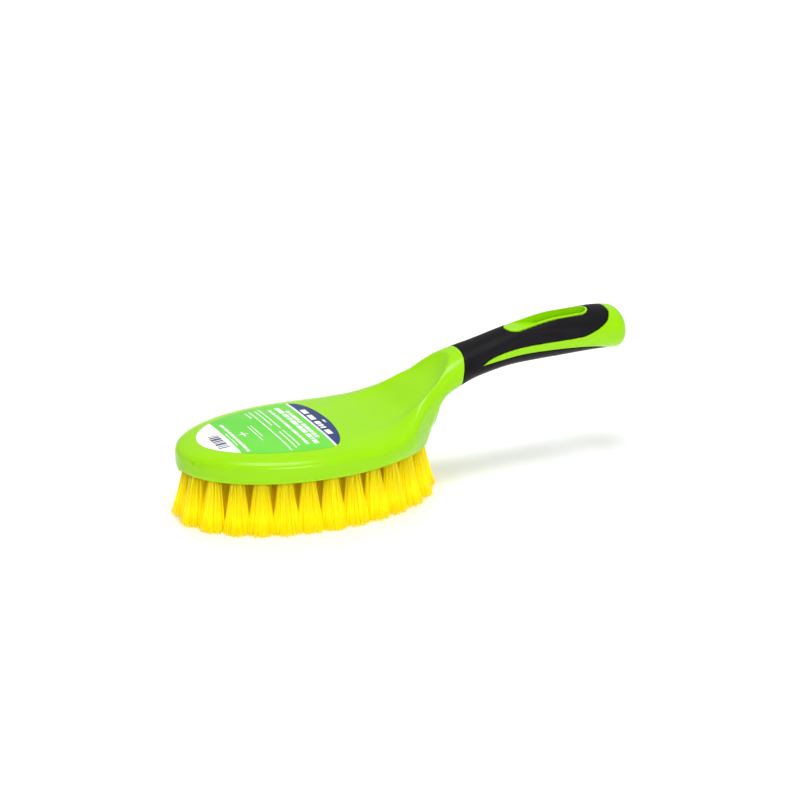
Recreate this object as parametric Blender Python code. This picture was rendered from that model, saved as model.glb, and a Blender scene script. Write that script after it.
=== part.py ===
"""Long-handled scrubbing brush: a moulded body with a soft over-moulded grip, a film label,
and tufts of bristle that flat wire anchors hold in blind holes.

X runs from the toe of the head to the tail of the handle, Y across it, and Z up from the
bristle tips. The origin is under the middle of the brush, on the surface it stands on.
"""

import math

import bmesh
import bpy
from mathutils import Matrix, Vector

# ---- Driving sizes, in metres ------------------------------------------------------------
OVERALL_LENGTH = 0.283  # toe to tail
HEAD_LENGTH = 0.155  # toe to the foot of the arch under the neck
HEAD_WIDTH = 0.0980
HEAD_THICKNESS = 0.0160
WIDEST_FROM_TOE = 0.080
BRISTLE_HEIGHT = 0.0315  # underside of the head above the tips
HANDLE_WIDTH = 0.033
HANDLE_DEPTH = 0.0265
HANDLE_RISE = 0.0475  # handle's centre line above the underside of the head
GAP = 0.0003  # between any two pieces

RIM_LEVEL = 0.42  # share of the head's thickness at which it is widest
RIM_DRAFT = 0.0012  # how much the side wall leans in at the underside
RIM_ROUND = 0.049  # distance over which the top falls to the rim
WIDEST_SHARE = 0.985  # underside's half width, as a share of the section's, never passes this
TAIL_ROUND = 0.008
TAIL_POWER = 2.6  # of the superellipse that rounds the tail; 2 is an ellipse

SCOOP_START = 0.105  # from the toe
SCOOP_LENGTH = 0.0635
SCOOP_HALF_WIDTH = 0.0265
SCOOP_DEPTH = 0.0115
SCOOP_FADE = 1.6  # how fast the scoop grows shallower from its apex towards the head
SCOOP_WALL = 7.0  # how steep its wall is; 2 is a dish
SCOOP_APEX_HALF_WIDTH = 0.0073  # what the ridge lines keep between them at the apex
RIDGE_RUNOUT = 0.4  # share of the scoop's length, past its apex, over which the ridge lines open
RIDGE_MOST = 0.85  # share of a section's half width that its ridge lines never pass

GRIP_THICKNESS = 0.0022
WINDOW_LENGTH = 0.0545
WINDOW_WIDTH = 0.014
WINDOW_END_FROM_TAIL = 0.0225
SLOT_RIM = 0.0014  # green edge between the grip's window and the hanging slot
SLOT_RAMP_DEPTH = 0.012
HANG_HOLE_LENGTH = 0.019

TUFT_HOLE_DIAMETER = 0.0055
TUFT_HOLE_DEPTH = 0.0105
RIM_INSET = 0.0080  # outline of the underside to the centres of the outer tufts
TUFT_LEAN = 0.0042  # how far the outer tufts' tips stand outside their holes
TUFT_TIP_RADIAL = 0.0062  # half size of the flared tip, across the ring
HOLE_OVERRUN = 0.002  # how far the cutters of the tuft holes start below the underside
OUTER_TUFTS, SECOND_TUFTS, THIRD_TUFTS, CENTRE_TUFTS = 26, 20, 14, 4
MAT_HEIGHT = 0.008  # height up to which the inner tufts' flared tips run together
STEM_CLEARANCE = 0.0018  # foot of an inner stem to the edge of its row's mat

ANCHOR_HEIGHT = 0.0020
ANCHOR_THICKNESS = 0.0004
ANCHOR_DROP = 0.0016  # folded end of the tuft to the top of the anchor

LABEL_START = 0.0125  # from the toe
LABEL_WIDEST = 0.0755
LABEL_END = 0.0930
LABEL_WIDTH = 0.0730
LABEL_THICKNESS = 0.0003

# ---- Sizes that follow -------------------------------------------------------------------
HANDLE_LENGTH = OVERALL_LENGTH - HEAD_LENGTH
HEAD_TOP = BRISTLE_HEIGHT + HEAD_THICKNESS
HANDLE_CENTRE = BRISTLE_HEIGHT + HANDLE_RISE
CLIMB = HANDLE_CENTRE - HEAD_TOP
ROW_PITCH = (HEAD_WIDTH / 2 - RIM_INSET) / 3
TUFT_RADIUS = TUFT_HOLE_DIAMETER / 2 - GAP

# ---- Fineness ----------------------------------------------------------------------------
QUARTER_POINTS = 9  # points in a quarter of a body section
RIDGE_POINT = 5  # which of them follows the ridge of the scoop
TOE_STATIONS = 12
HEAD_STATIONS = 9
NECK_STATIONS = 13
HANDLE_STATIONS = 12
TAIL_STATIONS = 5
TUFT_SIDES = 10
ROW_SIDES = 8


# ---- Curves ------------------------------------------------------------------------------
def smooth_curve(points):
    """A function through (place, value) points that never overshoots them."""
    xs = [place for place, _ in points]
    ys = [value for _, value in points]
    steps = [b - a for a, b in zip(xs, xs[1:])]
    slopes = [(ys[i + 1] - ys[i]) / steps[i] for i in range(len(steps))]
    tangents = [slopes[0]]
    for i in range(1, len(slopes)):
        before, after = slopes[i - 1], slopes[i]
        if before * after <= 0:
            tangents.append(0.0)
            continue
        wide, narrow = 2 * steps[i] + steps[i - 1], steps[i] + 2 * steps[i - 1]
        tangents.append((wide + narrow) / (wide / before + narrow / after))
    tangents.append(slopes[-1])

    def value(x):
        if x <= xs[0]:
            return ys[0]
        if x >= xs[-1]:
            return ys[-1]
        i = max(k for k in range(len(steps)) if xs[k] <= x)
        t = (x - xs[i]) / steps[i]
        return (
            ys[i] * (1 + 2 * t) * (1 - t) ** 2
            + ys[i + 1] * t * t * (3 - 2 * t)
            + steps[i] * tangents[i] * t * (1 - t) ** 2
            - steps[i] * tangents[i + 1] * t * t * (1 - t)
        )

    return value


def on_handle(share):
    """Distance from the toe of a point this share of the way along the handle."""
    return HEAD_LENGTH + share * HANDLE_LENGTH


def rounded(share, power):
    """Height of a superellipse's quarter, 0 at its edge and 1 at its middle."""
    return (1 - max(0.0, 1 - share) ** power) ** (1 / power)


# Centre line and depth of the handle, as shares of its rise and its depth.
handle_line = smooth_curve(
    [(0.0, 0.62), (0.10, 0.716), (0.256, 0.849), (0.44, 0.947), (0.664, 1.0), (0.85, 1.008), (1.0, 0.977)]
)
handle_depth = smooth_curve(
    [(0.0, 0.86), (0.10, 0.858), (0.256, 0.795), (0.44, 0.87), (0.664, 1.0), (0.85, 0.975), (1.0, 0.96)]
)


def handle_centre(x):
    return BRISTLE_HEIGHT + HANDLE_RISE * handle_line((x - HEAD_LENGTH) / HANDLE_LENGTH)


def handle_half_depth(x):
    return HANDLE_DEPTH / 2 * handle_depth((x - HEAD_LENGTH) / HANDLE_LENGTH)


top_line = smooth_curve(
    [
        (0.0, HEAD_TOP - 0.0008),
        (0.3 * HEAD_LENGTH, HEAD_TOP),
        (0.65 * HEAD_LENGTH, HEAD_TOP - 0.0006),
        (0.76 * HEAD_LENGTH, HEAD_TOP + 0.03 * CLIMB),
        (0.85 * HEAD_LENGTH, HEAD_TOP + 0.20 * CLIMB),
        (0.96 * HEAD_LENGTH, HEAD_TOP + 0.61 * CLIMB),
    ]
    + [
        (on_handle(s), handle_centre(on_handle(s)) + handle_half_depth(on_handle(s)))
        for s in (0.10, 0.256, 0.44, 0.664, 0.85, 1.0)
    ]
)
widest_level = smooth_curve(
    [
        (0.0, BRISTLE_HEIGHT + RIM_LEVEL * HEAD_THICKNESS),
        (0.65 * HEAD_LENGTH, BRISTLE_HEIGHT + RIM_LEVEL * HEAD_THICKNESS),
        (0.85 * HEAD_LENGTH, BRISTLE_HEIGHT + 0.66 * HEAD_THICKNESS),
        (0.96 * HEAD_LENGTH, HEAD_TOP + 0.12 * CLIMB),
    ]
    + [(on_handle(s), handle_centre(on_handle(s))) for s in (0.10, 0.256, 0.44, 0.664, 0.85, 1.0)]
)
arch_line = smooth_curve(
    [
        (HEAD_LENGTH, BRISTLE_HEIGHT),
        (HEAD_LENGTH + 0.0010, BRISTLE_HEIGHT + 0.14 * HANDLE_RISE),
        (HEAD_LENGTH + 0.0030, BRISTLE_HEIGHT + 0.27 * HANDLE_RISE),
        (HEAD_LENGTH + 0.0070, BRISTLE_HEIGHT + 0.39 * HANDLE_RISE),
    ]
    + [
        (on_handle(s), handle_centre(on_handle(s)) - handle_half_depth(on_handle(s)))
        for s in (0.10, 0.256, 0.44, 0.664, 0.85, 1.0)
    ]
)
neck_width = smooth_curve(
    [
        (WIDEST_FROM_TOE, HEAD_WIDTH / 2),
        (0.69 * HEAD_LENGTH, 0.96 * HEAD_WIDTH / 2),
        (0.845 * HEAD_LENGTH, 0.78 * HEAD_WIDTH / 2),
        (0.935 * HEAD_LENGTH, 0.525 * HEAD_WIDTH / 2),
        (HEAD_LENGTH, 1.20 * HANDLE_WIDTH / 2),
    ]
    + [
        (on_handle(s), share * HANDLE_WIDTH / 2)
        for s, share in ((0.10, 1.01), (0.256, 0.83), (0.44, 0.81), (0.664, 0.90), (0.85, 1.0), (1.0, 0.97))
    ]
)
upper_power = smooth_curve([(0.6 * HEAD_LENGTH, 3.2), (HEAD_LENGTH, 2.5), (on_handle(0.3), 2.1)])
lower_power = smooth_curve(
    [
        (0.6 * HEAD_LENGTH, 4.0),
        (0.85 * HEAD_LENGTH, 2.2),
        (0.95 * HEAD_LENGTH, 1.7),
        (1.02 * HEAD_LENGTH, 1.7),
        (on_handle(0.12), 2.0),
    ]
)


def underside_half_width(x, inset=0.0):
    """Half width of the flat underside: half an ellipse before its widest place, half of another after."""
    reach = WIDEST_FROM_TOE if x < WIDEST_FROM_TOE else HEAD_LENGTH - WIDEST_FROM_TOE
    share = (x - WIDEST_FROM_TOE) / (reach - RIM_DRAFT - inset)
    return (HEAD_WIDTH / 2 - RIM_DRAFT - inset) * math.sqrt(max(0.0, 1 - share * share))


def body_half_width(x):
    if x >= WIDEST_FROM_TOE:
        return neck_width(x)
    share = 1 - x / WIDEST_FROM_TOE
    return HEAD_WIDTH / 2 * math.sqrt(max(0.0, 1 - share * share))


def lower_height(x, half_width):
    """How far the section reaches below its widest level, past the flat underside if it has one."""
    level = widest_level(x)
    if x >= HEAD_LENGTH:
        return level - arch_line(x)
    power = lower_power(x)
    share = min(underside_half_width(x) / half_width, WIDEST_SHARE) if half_width else 0.0
    return (level - BRISTLE_HEIGHT) / (1 - share**power) ** (1 / power)


# ---- Scoop on top of the neck ------------------------------------------------------------
def scoop_share(x):
    return (x - SCOOP_START) / SCOOP_LENGTH


def scoop_half_width(x):
    share = min(max(scoop_share(x), 0.0), 1.0)
    return SCOOP_HALF_WIDTH * math.sqrt(1 - share * share)


def scoop_dip(x, y):
    """How far the scoop lowers the top at x, y."""
    share = scoop_share(x)
    if not 0 < share < 1 or abs(y) >= scoop_half_width(x):
        return 0.0
    edge = math.hypot(share, y / SCOOP_HALF_WIDTH)
    return SCOOP_DEPTH * share**SCOOP_FADE * (1 - edge**SCOOP_WALL)


def ridge_angle(x, half_width):
    """Where on a section's upper quarter the scoop's ridge runs; past its apex the angle opens again."""
    even = math.pi / 2 * RIDGE_POINT / QUARTER_POINTS
    ridge = max(scoop_half_width(x), SCOOP_APEX_HALF_WIDTH)
    past = min(max((scoop_share(x) - 1) / RIDGE_RUNOUT, 0.0), 1.0)
    share = min(ridge / half_width, RIDGE_MOST) if half_width else RIDGE_MOST
    angle = math.acos(share ** (upper_power(x) / 2))
    return angle + (even - angle) * past


# ---- Body sections -----------------------------------------------------------------------
def section(x, inset=0.0):
    """Points round the body at this distance from the toe, from +Y over the top."""
    toe = rounded(x / RIM_ROUND, upper_power(x)) if x < RIM_ROUND else 1.0
    into_tail = (x - (OVERALL_LENGTH - TAIL_ROUND)) / TAIL_ROUND
    tail = rounded(1 - into_tail, TAIL_POWER) if into_tail > 0 else 1.0
    level = widest_level(x)
    half_width = body_half_width(x)
    up = (top_line(x) - level) * toe * tail - inset
    down = lower_height(x, half_width) * tail - inset
    ridge = ridge_angle(x, half_width)
    half_width = half_width * tail - inset
    rest = QUARTER_POINTS - RIDGE_POINT
    angles = [ridge * k / RIDGE_POINT for k in range(RIDGE_POINT)]
    angles += [ridge + (math.pi / 2 - ridge) * k / rest for k in range(rest)]
    over = angles + [math.pi / 2] + [math.pi - a for a in reversed(angles[1:])]
    under = [math.pi + math.pi * k / (2 * QUARTER_POINTS) for k in range(2 * QUARTER_POINTS)]
    points = []
    for angle in over + under:
        above = angle < math.pi
        power = upper_power(x) if above else lower_power(x)
        cosine, sine = math.cos(angle), abs(math.sin(angle))
        y = half_width * math.copysign(abs(cosine) ** (2 / power), cosine)
        z = sine ** (2 / power)
        z = level + up * z - scoop_dip(x, y) if above else level - down * z
        points.append(Vector((x - OVERALL_LENGTH / 2, y, z)))
    return points


def stations():
    """Distances from the toe at which the body has a section."""
    quarter = math.pi / 2
    found = [WIDEST_FROM_TOE * (1 - math.cos(quarter * k / TOE_STATIONS)) for k in range(1, TOE_STATIONS)]
    neck_start, neck_end = 0.84 * HEAD_LENGTH, on_handle(0.14)
    tail_start = OVERALL_LENGTH - TAIL_ROUND
    for start, end, count in (
        (WIDEST_FROM_TOE, neck_start, HEAD_STATIONS),
        (neck_start, neck_end, NECK_STATIONS),
        (neck_end, tail_start, HANDLE_STATIONS),
    ):
        found += [start + (end - start) * k / count for k in range(count)]
    found += [tail_start + TAIL_ROUND * math.sin(quarter * k / TAIL_STATIONS) for k in range(TAIL_STATIONS)]
    return found


# ---- Mesh helpers ------------------------------------------------------------------------
def new_mesh(name, bm, material=None):
    """A mesh from a bmesh, with its faces outwards, its round faces smooth and its edges sharp."""
    bmesh.ops.recalc_face_normals(bm, faces=bm.faces)
    mesh = bpy.data.meshes.new(name)
    bm.to_mesh(mesh)
    bm.free()
    mesh.shade_smooth()
    mesh.set_sharp_from_angle(angle=math.radians(35))
    if material:
        mesh.materials.append(material)
    return mesh


def link(name, mesh):
    """A new object that shows this mesh."""
    obj = bpy.data.objects.new(name, mesh)
    bpy.context.scene.collection.objects.link(obj)
    return obj


def new_object(name, bm, material=None):
    return link(name, new_mesh(name, bm, material))


def add_to(bm, part, matrix):
    """Moves one bmesh by a matrix and joins it to another."""
    part.transform(matrix)
    mesh = bpy.data.meshes.new("part")
    part.to_mesh(mesh)
    part.free()
    bm.from_mesh(mesh)
    bpy.data.meshes.remove(mesh)


def as_cutter(obj):
    obj.hide_render = True
    obj.display_type = "WIRE"
    return obj


def boolean(obj, other, operation):
    modifier = obj.modifiers.new(f"{operation.lower()}_{other.name}", "BOOLEAN")
    modifier.operation = operation
    modifier.solver = "EXACT"
    modifier.object = other


def skin(bm, rings, start_point=None, end_point=None):
    """Joins rings of as many points each; each end closes on a point, or on a flat face without one."""
    loops = [[bm.verts.new(point) for point in ring] for ring in rings]
    for near, far in zip(loops, loops[1:]):
        for k in range(len(near)):
            j = (k + 1) % len(near)
            bm.faces.new((near[k], near[j], far[j], far[k]))
    for loop, point in ((loops[0], start_point), (loops[-1], end_point)):
        if point is None:
            bm.faces.new(loop)
            continue
        tip = bm.verts.new(point)
        for k in range(len(loop)):
            bm.faces.new((loop[k], loop[(k + 1) % len(loop)], tip))


def prism(bm, outline, low, high):
    """Extrudes a plan outline between two heights, each a number or a function of a point."""
    base = low if callable(low) else lambda point: low
    crown = high if callable(high) else lambda point: high
    skin(
        bm,
        [
            [Vector((x, y, base((x, y)))) for x, y in outline],
            [Vector((x, y, crown((x, y)))) for x, y in outline],
        ],
    )


def body_form():
    """The outside of the body and the grip together, with its underside cut flat."""
    bm = bmesh.new()
    middle = OVERALL_LENGTH / 2
    toe = Vector((-middle, 0, widest_level(0)))
    tail = Vector((middle, 0, widest_level(OVERALL_LENGTH)))
    skin(bm, [section(x) for x in stations()], toe, tail)
    bmesh.ops.recalc_face_normals(bm, faces=bm.faces)
    cut = bmesh.ops.bisect_plane(
        bm,
        geom=bm.verts[:] + bm.edges[:] + bm.faces[:],
        dist=1e-7,
        plane_co=(0, 0, BRISTLE_HEIGHT),
        plane_no=(0, 0, -1),
        clear_outer=True,
    )
    rim = [item for item in cut["geom_cut"] if isinstance(item, bmesh.types.BMEdge)]
    bmesh.ops.edgeloop_fill(bm, edges=rim)
    return bm


def handle_core(inset):
    """A form inside the handle, this far below its surface, past both ends of the grip."""
    bm = bmesh.new()
    start, end = on_handle(0.12), on_handle(0.965)
    count = HANDLE_STATIONS + 4
    skin(bm, [section(start + (end - start) * k / count, inset) for k in range(count + 1)])
    return bm


# ---- Grip --------------------------------------------------------------------------------
def on_side(share, level):
    """A point of the side view: a share along the handle, and -1 to 1 from its bottom to its top."""
    x = on_handle(share)
    return x, handle_centre(x) + level * handle_half_depth(x)


def smooth_path(points, steps=4):
    """Points on a Catmull-Rom curve through these ones, both ends included."""
    padded = [points[0]] + list(points) + [points[-1]]
    path = []
    for a, b, c, d in zip(padded, padded[1:], padded[2:], padded[3:]):
        for k in range(steps):
            t = k / steps
            path.append(
                tuple(
                    0.5
                    * (
                        2 * q
                        + (r - p) * t
                        + (2 * p - 5 * q + 4 * r - s) * t * t
                        + (3 * q - p - 3 * r + s) * t**3
                    )
                    for p, q, r, s in zip(a, b, c, d)
                )
            )
    return path + [tuple(points[-1])]


# The grip in the side view: front edge, round end of the top tongue, swoosh and bottom strip.
FRONT_EDGE = [(0.15, -1.7), (0.14, -1.0), (0.133, -0.3), (0.137, 0.2), (0.147, 0.65), (0.157, 1.0)]
FRONT_EDGE += [(0.165, 1.7)]
TONGUE_END = [(0.915, 1.7), (0.915, 1.0), (0.905, 0.8), (0.87, 0.5), (0.81, 0.22), (0.75, 0.04)]
SWOOSH_TOP = [(0.65, 0.01), (0.55, 0.05), (0.42, 0.14), (0.33, 0.15), (0.28, 0.09), (0.242, -0.04)]
SWOOSH_BOTTOM = [(0.345, -0.17), (0.45, -0.24), (0.59, -0.35), (0.73, -0.45), (0.80, -0.54), (0.86, -0.68)]
STRIP_END = [(0.93, -0.95), (0.95, -1.15), (0.95, -1.7)]


def offset_outline(outline, distance):
    """The outline moved outwards by a distance; it runs anticlockwise."""
    moved = []
    for k, (x, z) in enumerate(outline):
        (px, pz), (nx, nz) = outline[k - 1], outline[(k + 1) % len(outline)]
        before = Vector((z - pz, px - x)).normalized()
        after = Vector((nz - z, x - nx)).normalized()
        normal = (before + after).normalized()
        reach = distance / max(normal.dot(after), 0.5)
        moved.append((x + normal.x * reach, z + normal.y * reach))
    return moved


def grip_outline():
    """Side view of the grip's zone, anticlockwise, in metres from the toe and from the ground."""
    back = smooth_path([on_side(*p) for p in TONGUE_END + SWOOSH_TOP], 3)
    strip = smooth_path([on_side(*p) for p in SWOOSH_TOP[-1:] + SWOOSH_BOTTOM + STRIP_END], 3)[1:]
    front = smooth_path([on_side(*p) for p in FRONT_EDGE], 2)
    return (front + back + strip)[::-1]


def grip_zone(spread):
    """A block across the handle that takes in the grip's channel, this much larger all round."""
    bm = bmesh.new()
    outline = offset_outline(grip_outline(), spread)
    reach = HANDLE_WIDTH
    skin(
        bm,
        [[Vector((x - OVERALL_LENGTH / 2, y, z)) for x, z in outline] for y in (-reach, reach)],
    )
    return bm


def stadium(start, end, width, steps=7):
    """Outline of a slot with round ends, between two distances from the toe."""
    radius = width / 2
    points = []
    for centre, turn in ((end - radius, -math.pi / 2), (start + radius, math.pi / 2)):
        for k in range(steps + 1):
            angle = turn + math.pi * k / steps
            x = centre + radius * math.cos(angle) - OVERALL_LENGTH / 2
            points.append((x, radius * math.sin(angle)))
    return points


WINDOW_END = OVERALL_LENGTH - WINDOW_END_FROM_TAIL
WINDOW_START = WINDOW_END - WINDOW_LENGTH
SLOT_END = WINDOW_END - SLOT_RIM
SLOT_START = WINDOW_START + SLOT_RIM
SLOT_WIDTH = WINDOW_WIDTH - 2 * SLOT_RIM
HANG_HOLE_START = SLOT_END - HANG_HOLE_LENGTH


def windows(shrink):
    """What the grip leaves open: the window on top, and the mouth of the hanging hole below."""
    bm = bmesh.new()
    above, below = HANDLE_CENTRE + HANDLE_DEPTH, HANDLE_CENTRE - HANDLE_DEPTH
    top = stadium(WINDOW_START + shrink, WINDOW_END - shrink, WINDOW_WIDTH - 2 * shrink)
    prism(bm, top, HANDLE_CENTRE, above)
    mouth_start = HANG_HOLE_START - SLOT_RIM + shrink
    mouth = stadium(mouth_start, WINDOW_END - shrink, WINDOW_WIDTH - 2 * shrink)
    prism(bm, mouth, below, HANDLE_CENTRE - HANDLE_DEPTH / 8)
    return bm


def hanging_slot():
    """The slot's ramp, which starts at the surface, and the hole through the handle at its end."""
    above, below = HANDLE_CENTRE + HANDLE_DEPTH, HANDLE_CENTRE - HANDLE_DEPTH
    surface = top_line(SLOT_START)
    slope = (top_line(HANG_HOLE_START) - SLOT_RAMP_DEPTH - surface) / (HANG_HOLE_START - SLOT_START)

    def ramp(point):
        return surface + slope * (point[0] + OVERALL_LENGTH / 2 - SLOT_START)

    bm = bmesh.new()
    prism(bm, stadium(SLOT_START, SLOT_END, SLOT_WIDTH), ramp, above)
    slot = as_cutter(new_object("slot_cutter", bm))
    bm = bmesh.new()
    prism(bm, stadium(HANG_HOLE_START, SLOT_END - GAP, SLOT_WIDTH - 2 * GAP), below, above)
    hole = as_cutter(new_object("hang_hole_cutter", bm))
    return slot, hole


# ---- Bristles ----------------------------------------------------------------------------
def ring_outline(inset, count=240):
    """Points round the underside, this far inside its outline."""
    points = []
    for k in range(count):
        angle = 2 * math.pi * (k + 0.5) / count
        reach = WIDEST_FROM_TOE if math.cos(angle) > 0 else HEAD_LENGTH - WIDEST_FROM_TOE
        x = WIDEST_FROM_TOE - (reach - inset) * math.cos(angle)
        points.append(Vector((x - OVERALL_LENGTH / 2, (HEAD_WIDTH / 2 - inset) * math.sin(angle))))
    return points


def spread_round(outline, count):
    """(point, outward angle) at even distances round a closed outline, clear of its toe."""
    lengths = [0.0]
    for k, point in enumerate(outline):
        lengths.append(lengths[-1] + (outline[(k + 1) % len(outline)] - point).length)
    places = []
    k = 0
    for n in range(count):
        want = lengths[-1] * (n + 0.5) / count
        while lengths[k + 1] < want:
            k += 1
        start, end = outline[k], outline[(k + 1) % len(outline)]
        share = (want - lengths[k]) / (lengths[k + 1] - lengths[k])
        along = end - start
        places.append((start + along * share, math.atan2(-along.x, along.y) + math.pi))
    return places


def place(point, angle=0.0):
    """Puts a tuft's own frame, with X outwards and its hole's mouth at the origin, in the brush."""
    return Matrix.Translation((point.x, point.y, BRISTLE_HEIGHT)) @ Matrix.Rotation(angle, 4, "Z")


def oval(sides, height, across, along, shift=0.0):
    return [
        Vector((shift + across * math.cos(a), along * math.sin(a), height))
        for a in (2 * math.pi * (k + 0.5) / sides for k in range(sides))
    ]


def flared_tuft(pitch):
    """An outer tuft in its own frame: straight in its hole, then flaring and leaning out to its tip."""
    fold = TUFT_HOLE_DEPTH - GAP
    along = pitch / 2 - GAP
    rings = [
        oval(TUFT_SIDES, fold, 0.65 * TUFT_RADIUS, 0.65 * TUFT_RADIUS),
        oval(TUFT_SIDES, fold - 0.25 * TUFT_RADIUS, TUFT_RADIUS, TUFT_RADIUS),
        oval(TUFT_SIDES, 0.0, TUFT_RADIUS, TUFT_RADIUS),
    ]
    for share in (0.5, 1.0):
        flare = share**1.1
        rings.append(
            oval(
                TUFT_SIDES,
                -BRISTLE_HEIGHT * share,
                TUFT_RADIUS + (TUFT_TIP_RADIAL - TUFT_RADIUS) * flare,
                TUFT_RADIUS + (along - TUFT_RADIUS) * flare,
                TUFT_LEAN * share**1.3,
            )
        )
    bm = bmesh.new()
    skin(bm, rings)
    return bm


def box(size, centre):
    bm = bmesh.new()
    bmesh.ops.create_cube(bm, size=1, matrix=Matrix.Translation(centre) @ Matrix.Diagonal((*size, 1)))
    return bm


def anchor_centre():
    return Vector((0, 0, TUFT_HOLE_DEPTH - GAP - ANCHOR_DROP - ANCHOR_HEIGHT / 2))


def tuft_holes(places):
    """One cutter with a blind hole for each tuft."""
    bm = bmesh.new()
    radius = TUFT_HOLE_DIAMETER / 2
    for point, angle, sides in places:
        hole = bmesh.new()
        skin(hole, [oval(sides, z, radius, radius) for z in (-HOLE_OVERRUN, TUFT_HOLE_DEPTH)])
        add_to(bm, hole, place(point, angle))
    return as_cutter(new_object("tuft_hole_cutter", bm))


def inner_row(name, places, outer, inner, material):
    """Tufts of an inner row: straight stems in their holes, whose flared tips run together below."""
    stems = bmesh.new()
    fold = TUFT_HOLE_DEPTH - GAP
    stem_foot = MAT_HEIGHT / 2 - BRISTLE_HEIGHT
    flare = ROW_PITCH / 2 - STEM_CLEARANCE
    for point, angle in places:
        stem = bmesh.new()
        rings = [
            oval(ROW_SIDES, fold, TUFT_RADIUS, TUFT_RADIUS),
            oval(ROW_SIDES, 0.0, TUFT_RADIUS, TUFT_RADIUS),
            oval(ROW_SIDES, stem_foot, flare, flare),
        ]
        skin(stem, rings)
        add_to(stems, stem, place(point, angle))
    stems = as_cutter(new_object(f"{name}_stems", stems))
    mat = bmesh.new()
    prism(mat, [tuple(p) for p in outer], 0.0, MAT_HEIGHT)
    row = new_object(name, mat, material)
    if inner:
        opening = bmesh.new()
        prism(opening, [tuple(p) for p in inner], -MAT_HEIGHT, 2 * MAT_HEIGHT)
        boolean(row, as_cutter(new_object(f"{name}_opening", opening)), "DIFFERENCE")
    boolean(row, stems, "UNION")
    return row


# ---- Label -------------------------------------------------------------------------------
def top_height(x, y):
    """Height of the head's top at x from the toe, away from the scoop."""
    level = widest_level(x)
    share = 1 - min(abs(y) / body_half_width(x), 1.0)
    toe = rounded(x / RIM_ROUND, upper_power(x)) if x < RIM_ROUND else 1.0
    return level + (top_line(x) - level) * toe * rounded(share, upper_power(x))


def label_half_width(x):
    if x < LABEL_WIDEST:
        share = (LABEL_WIDEST - x) / (LABEL_WIDEST - LABEL_START)
        return LABEL_WIDTH / 2 * math.sqrt(1 - share * share)
    share = (x - LABEL_WIDEST) / (LABEL_END - LABEL_WIDEST)
    return LABEL_WIDTH / 2 * (1 - share**3.5) ** 0.6


def film_label(material):
    """An egg-shaped film that follows the top of the head, wider towards the handle."""
    toe_rows, tail_rows, columns = 8, 5, 7
    places = [
        LABEL_WIDEST - (LABEL_WIDEST - LABEL_START) * math.cos(math.pi / 2 * k / toe_rows)
        for k in range(1, toe_rows)
    ]
    places += [
        LABEL_WIDEST + (LABEL_END - LABEL_WIDEST) * math.sin(math.pi / 2 * k / tail_rows)
        for k in range(tail_rows)
    ]
    bm = bmesh.new()
    layers = []
    for lift in (GAP, GAP + LABEL_THICKNESS):
        grid = []
        for x in places:
            half = label_half_width(x)
            line = []
            for j in range(-columns, columns + 1):
                y = half * j / columns
                z = top_height(x, y) + lift
                line.append(bm.verts.new((x - OVERALL_LENGTH / 2, y, z)))
            grid.append(line)
        ends = []
        for x in (LABEL_START, LABEL_END):
            ends.append(bm.verts.new((x - OVERALL_LENGTH / 2, 0, top_height(x, 0) + lift)))
        for near, far in zip(grid, grid[1:]):
            for j in range(2 * columns):
                bm.faces.new((near[j], near[j + 1], far[j + 1], far[j]))
        for end, line in zip(ends, (grid[0], grid[-1])):
            for j in range(2 * columns):
                bm.faces.new((end, line[j], line[j + 1]))
        border = [ends[0]] + [line[0] for line in grid] + [ends[1]] + [line[-1] for line in reversed(grid)]
        layers.append(border)
    for k in range(len(layers[0])):
        j = (k + 1) % len(layers[0])
        bm.faces.new((layers[0][k], layers[0][j], layers[1][j], layers[1][k]))
    return new_object("label", bm, material)


# ---- Materials ---------------------------------------------------------------------------
def material(name, colour, roughness, metallic=0.0):
    made = bpy.data.materials.new(name)
    made.use_nodes = True
    shader = made.node_tree.nodes["Principled BSDF"]
    shader.inputs["Base Color"].default_value = (*colour, 1)
    shader.inputs["Roughness"].default_value = roughness
    shader.inputs["Metallic"].default_value = metallic
    return made


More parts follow.
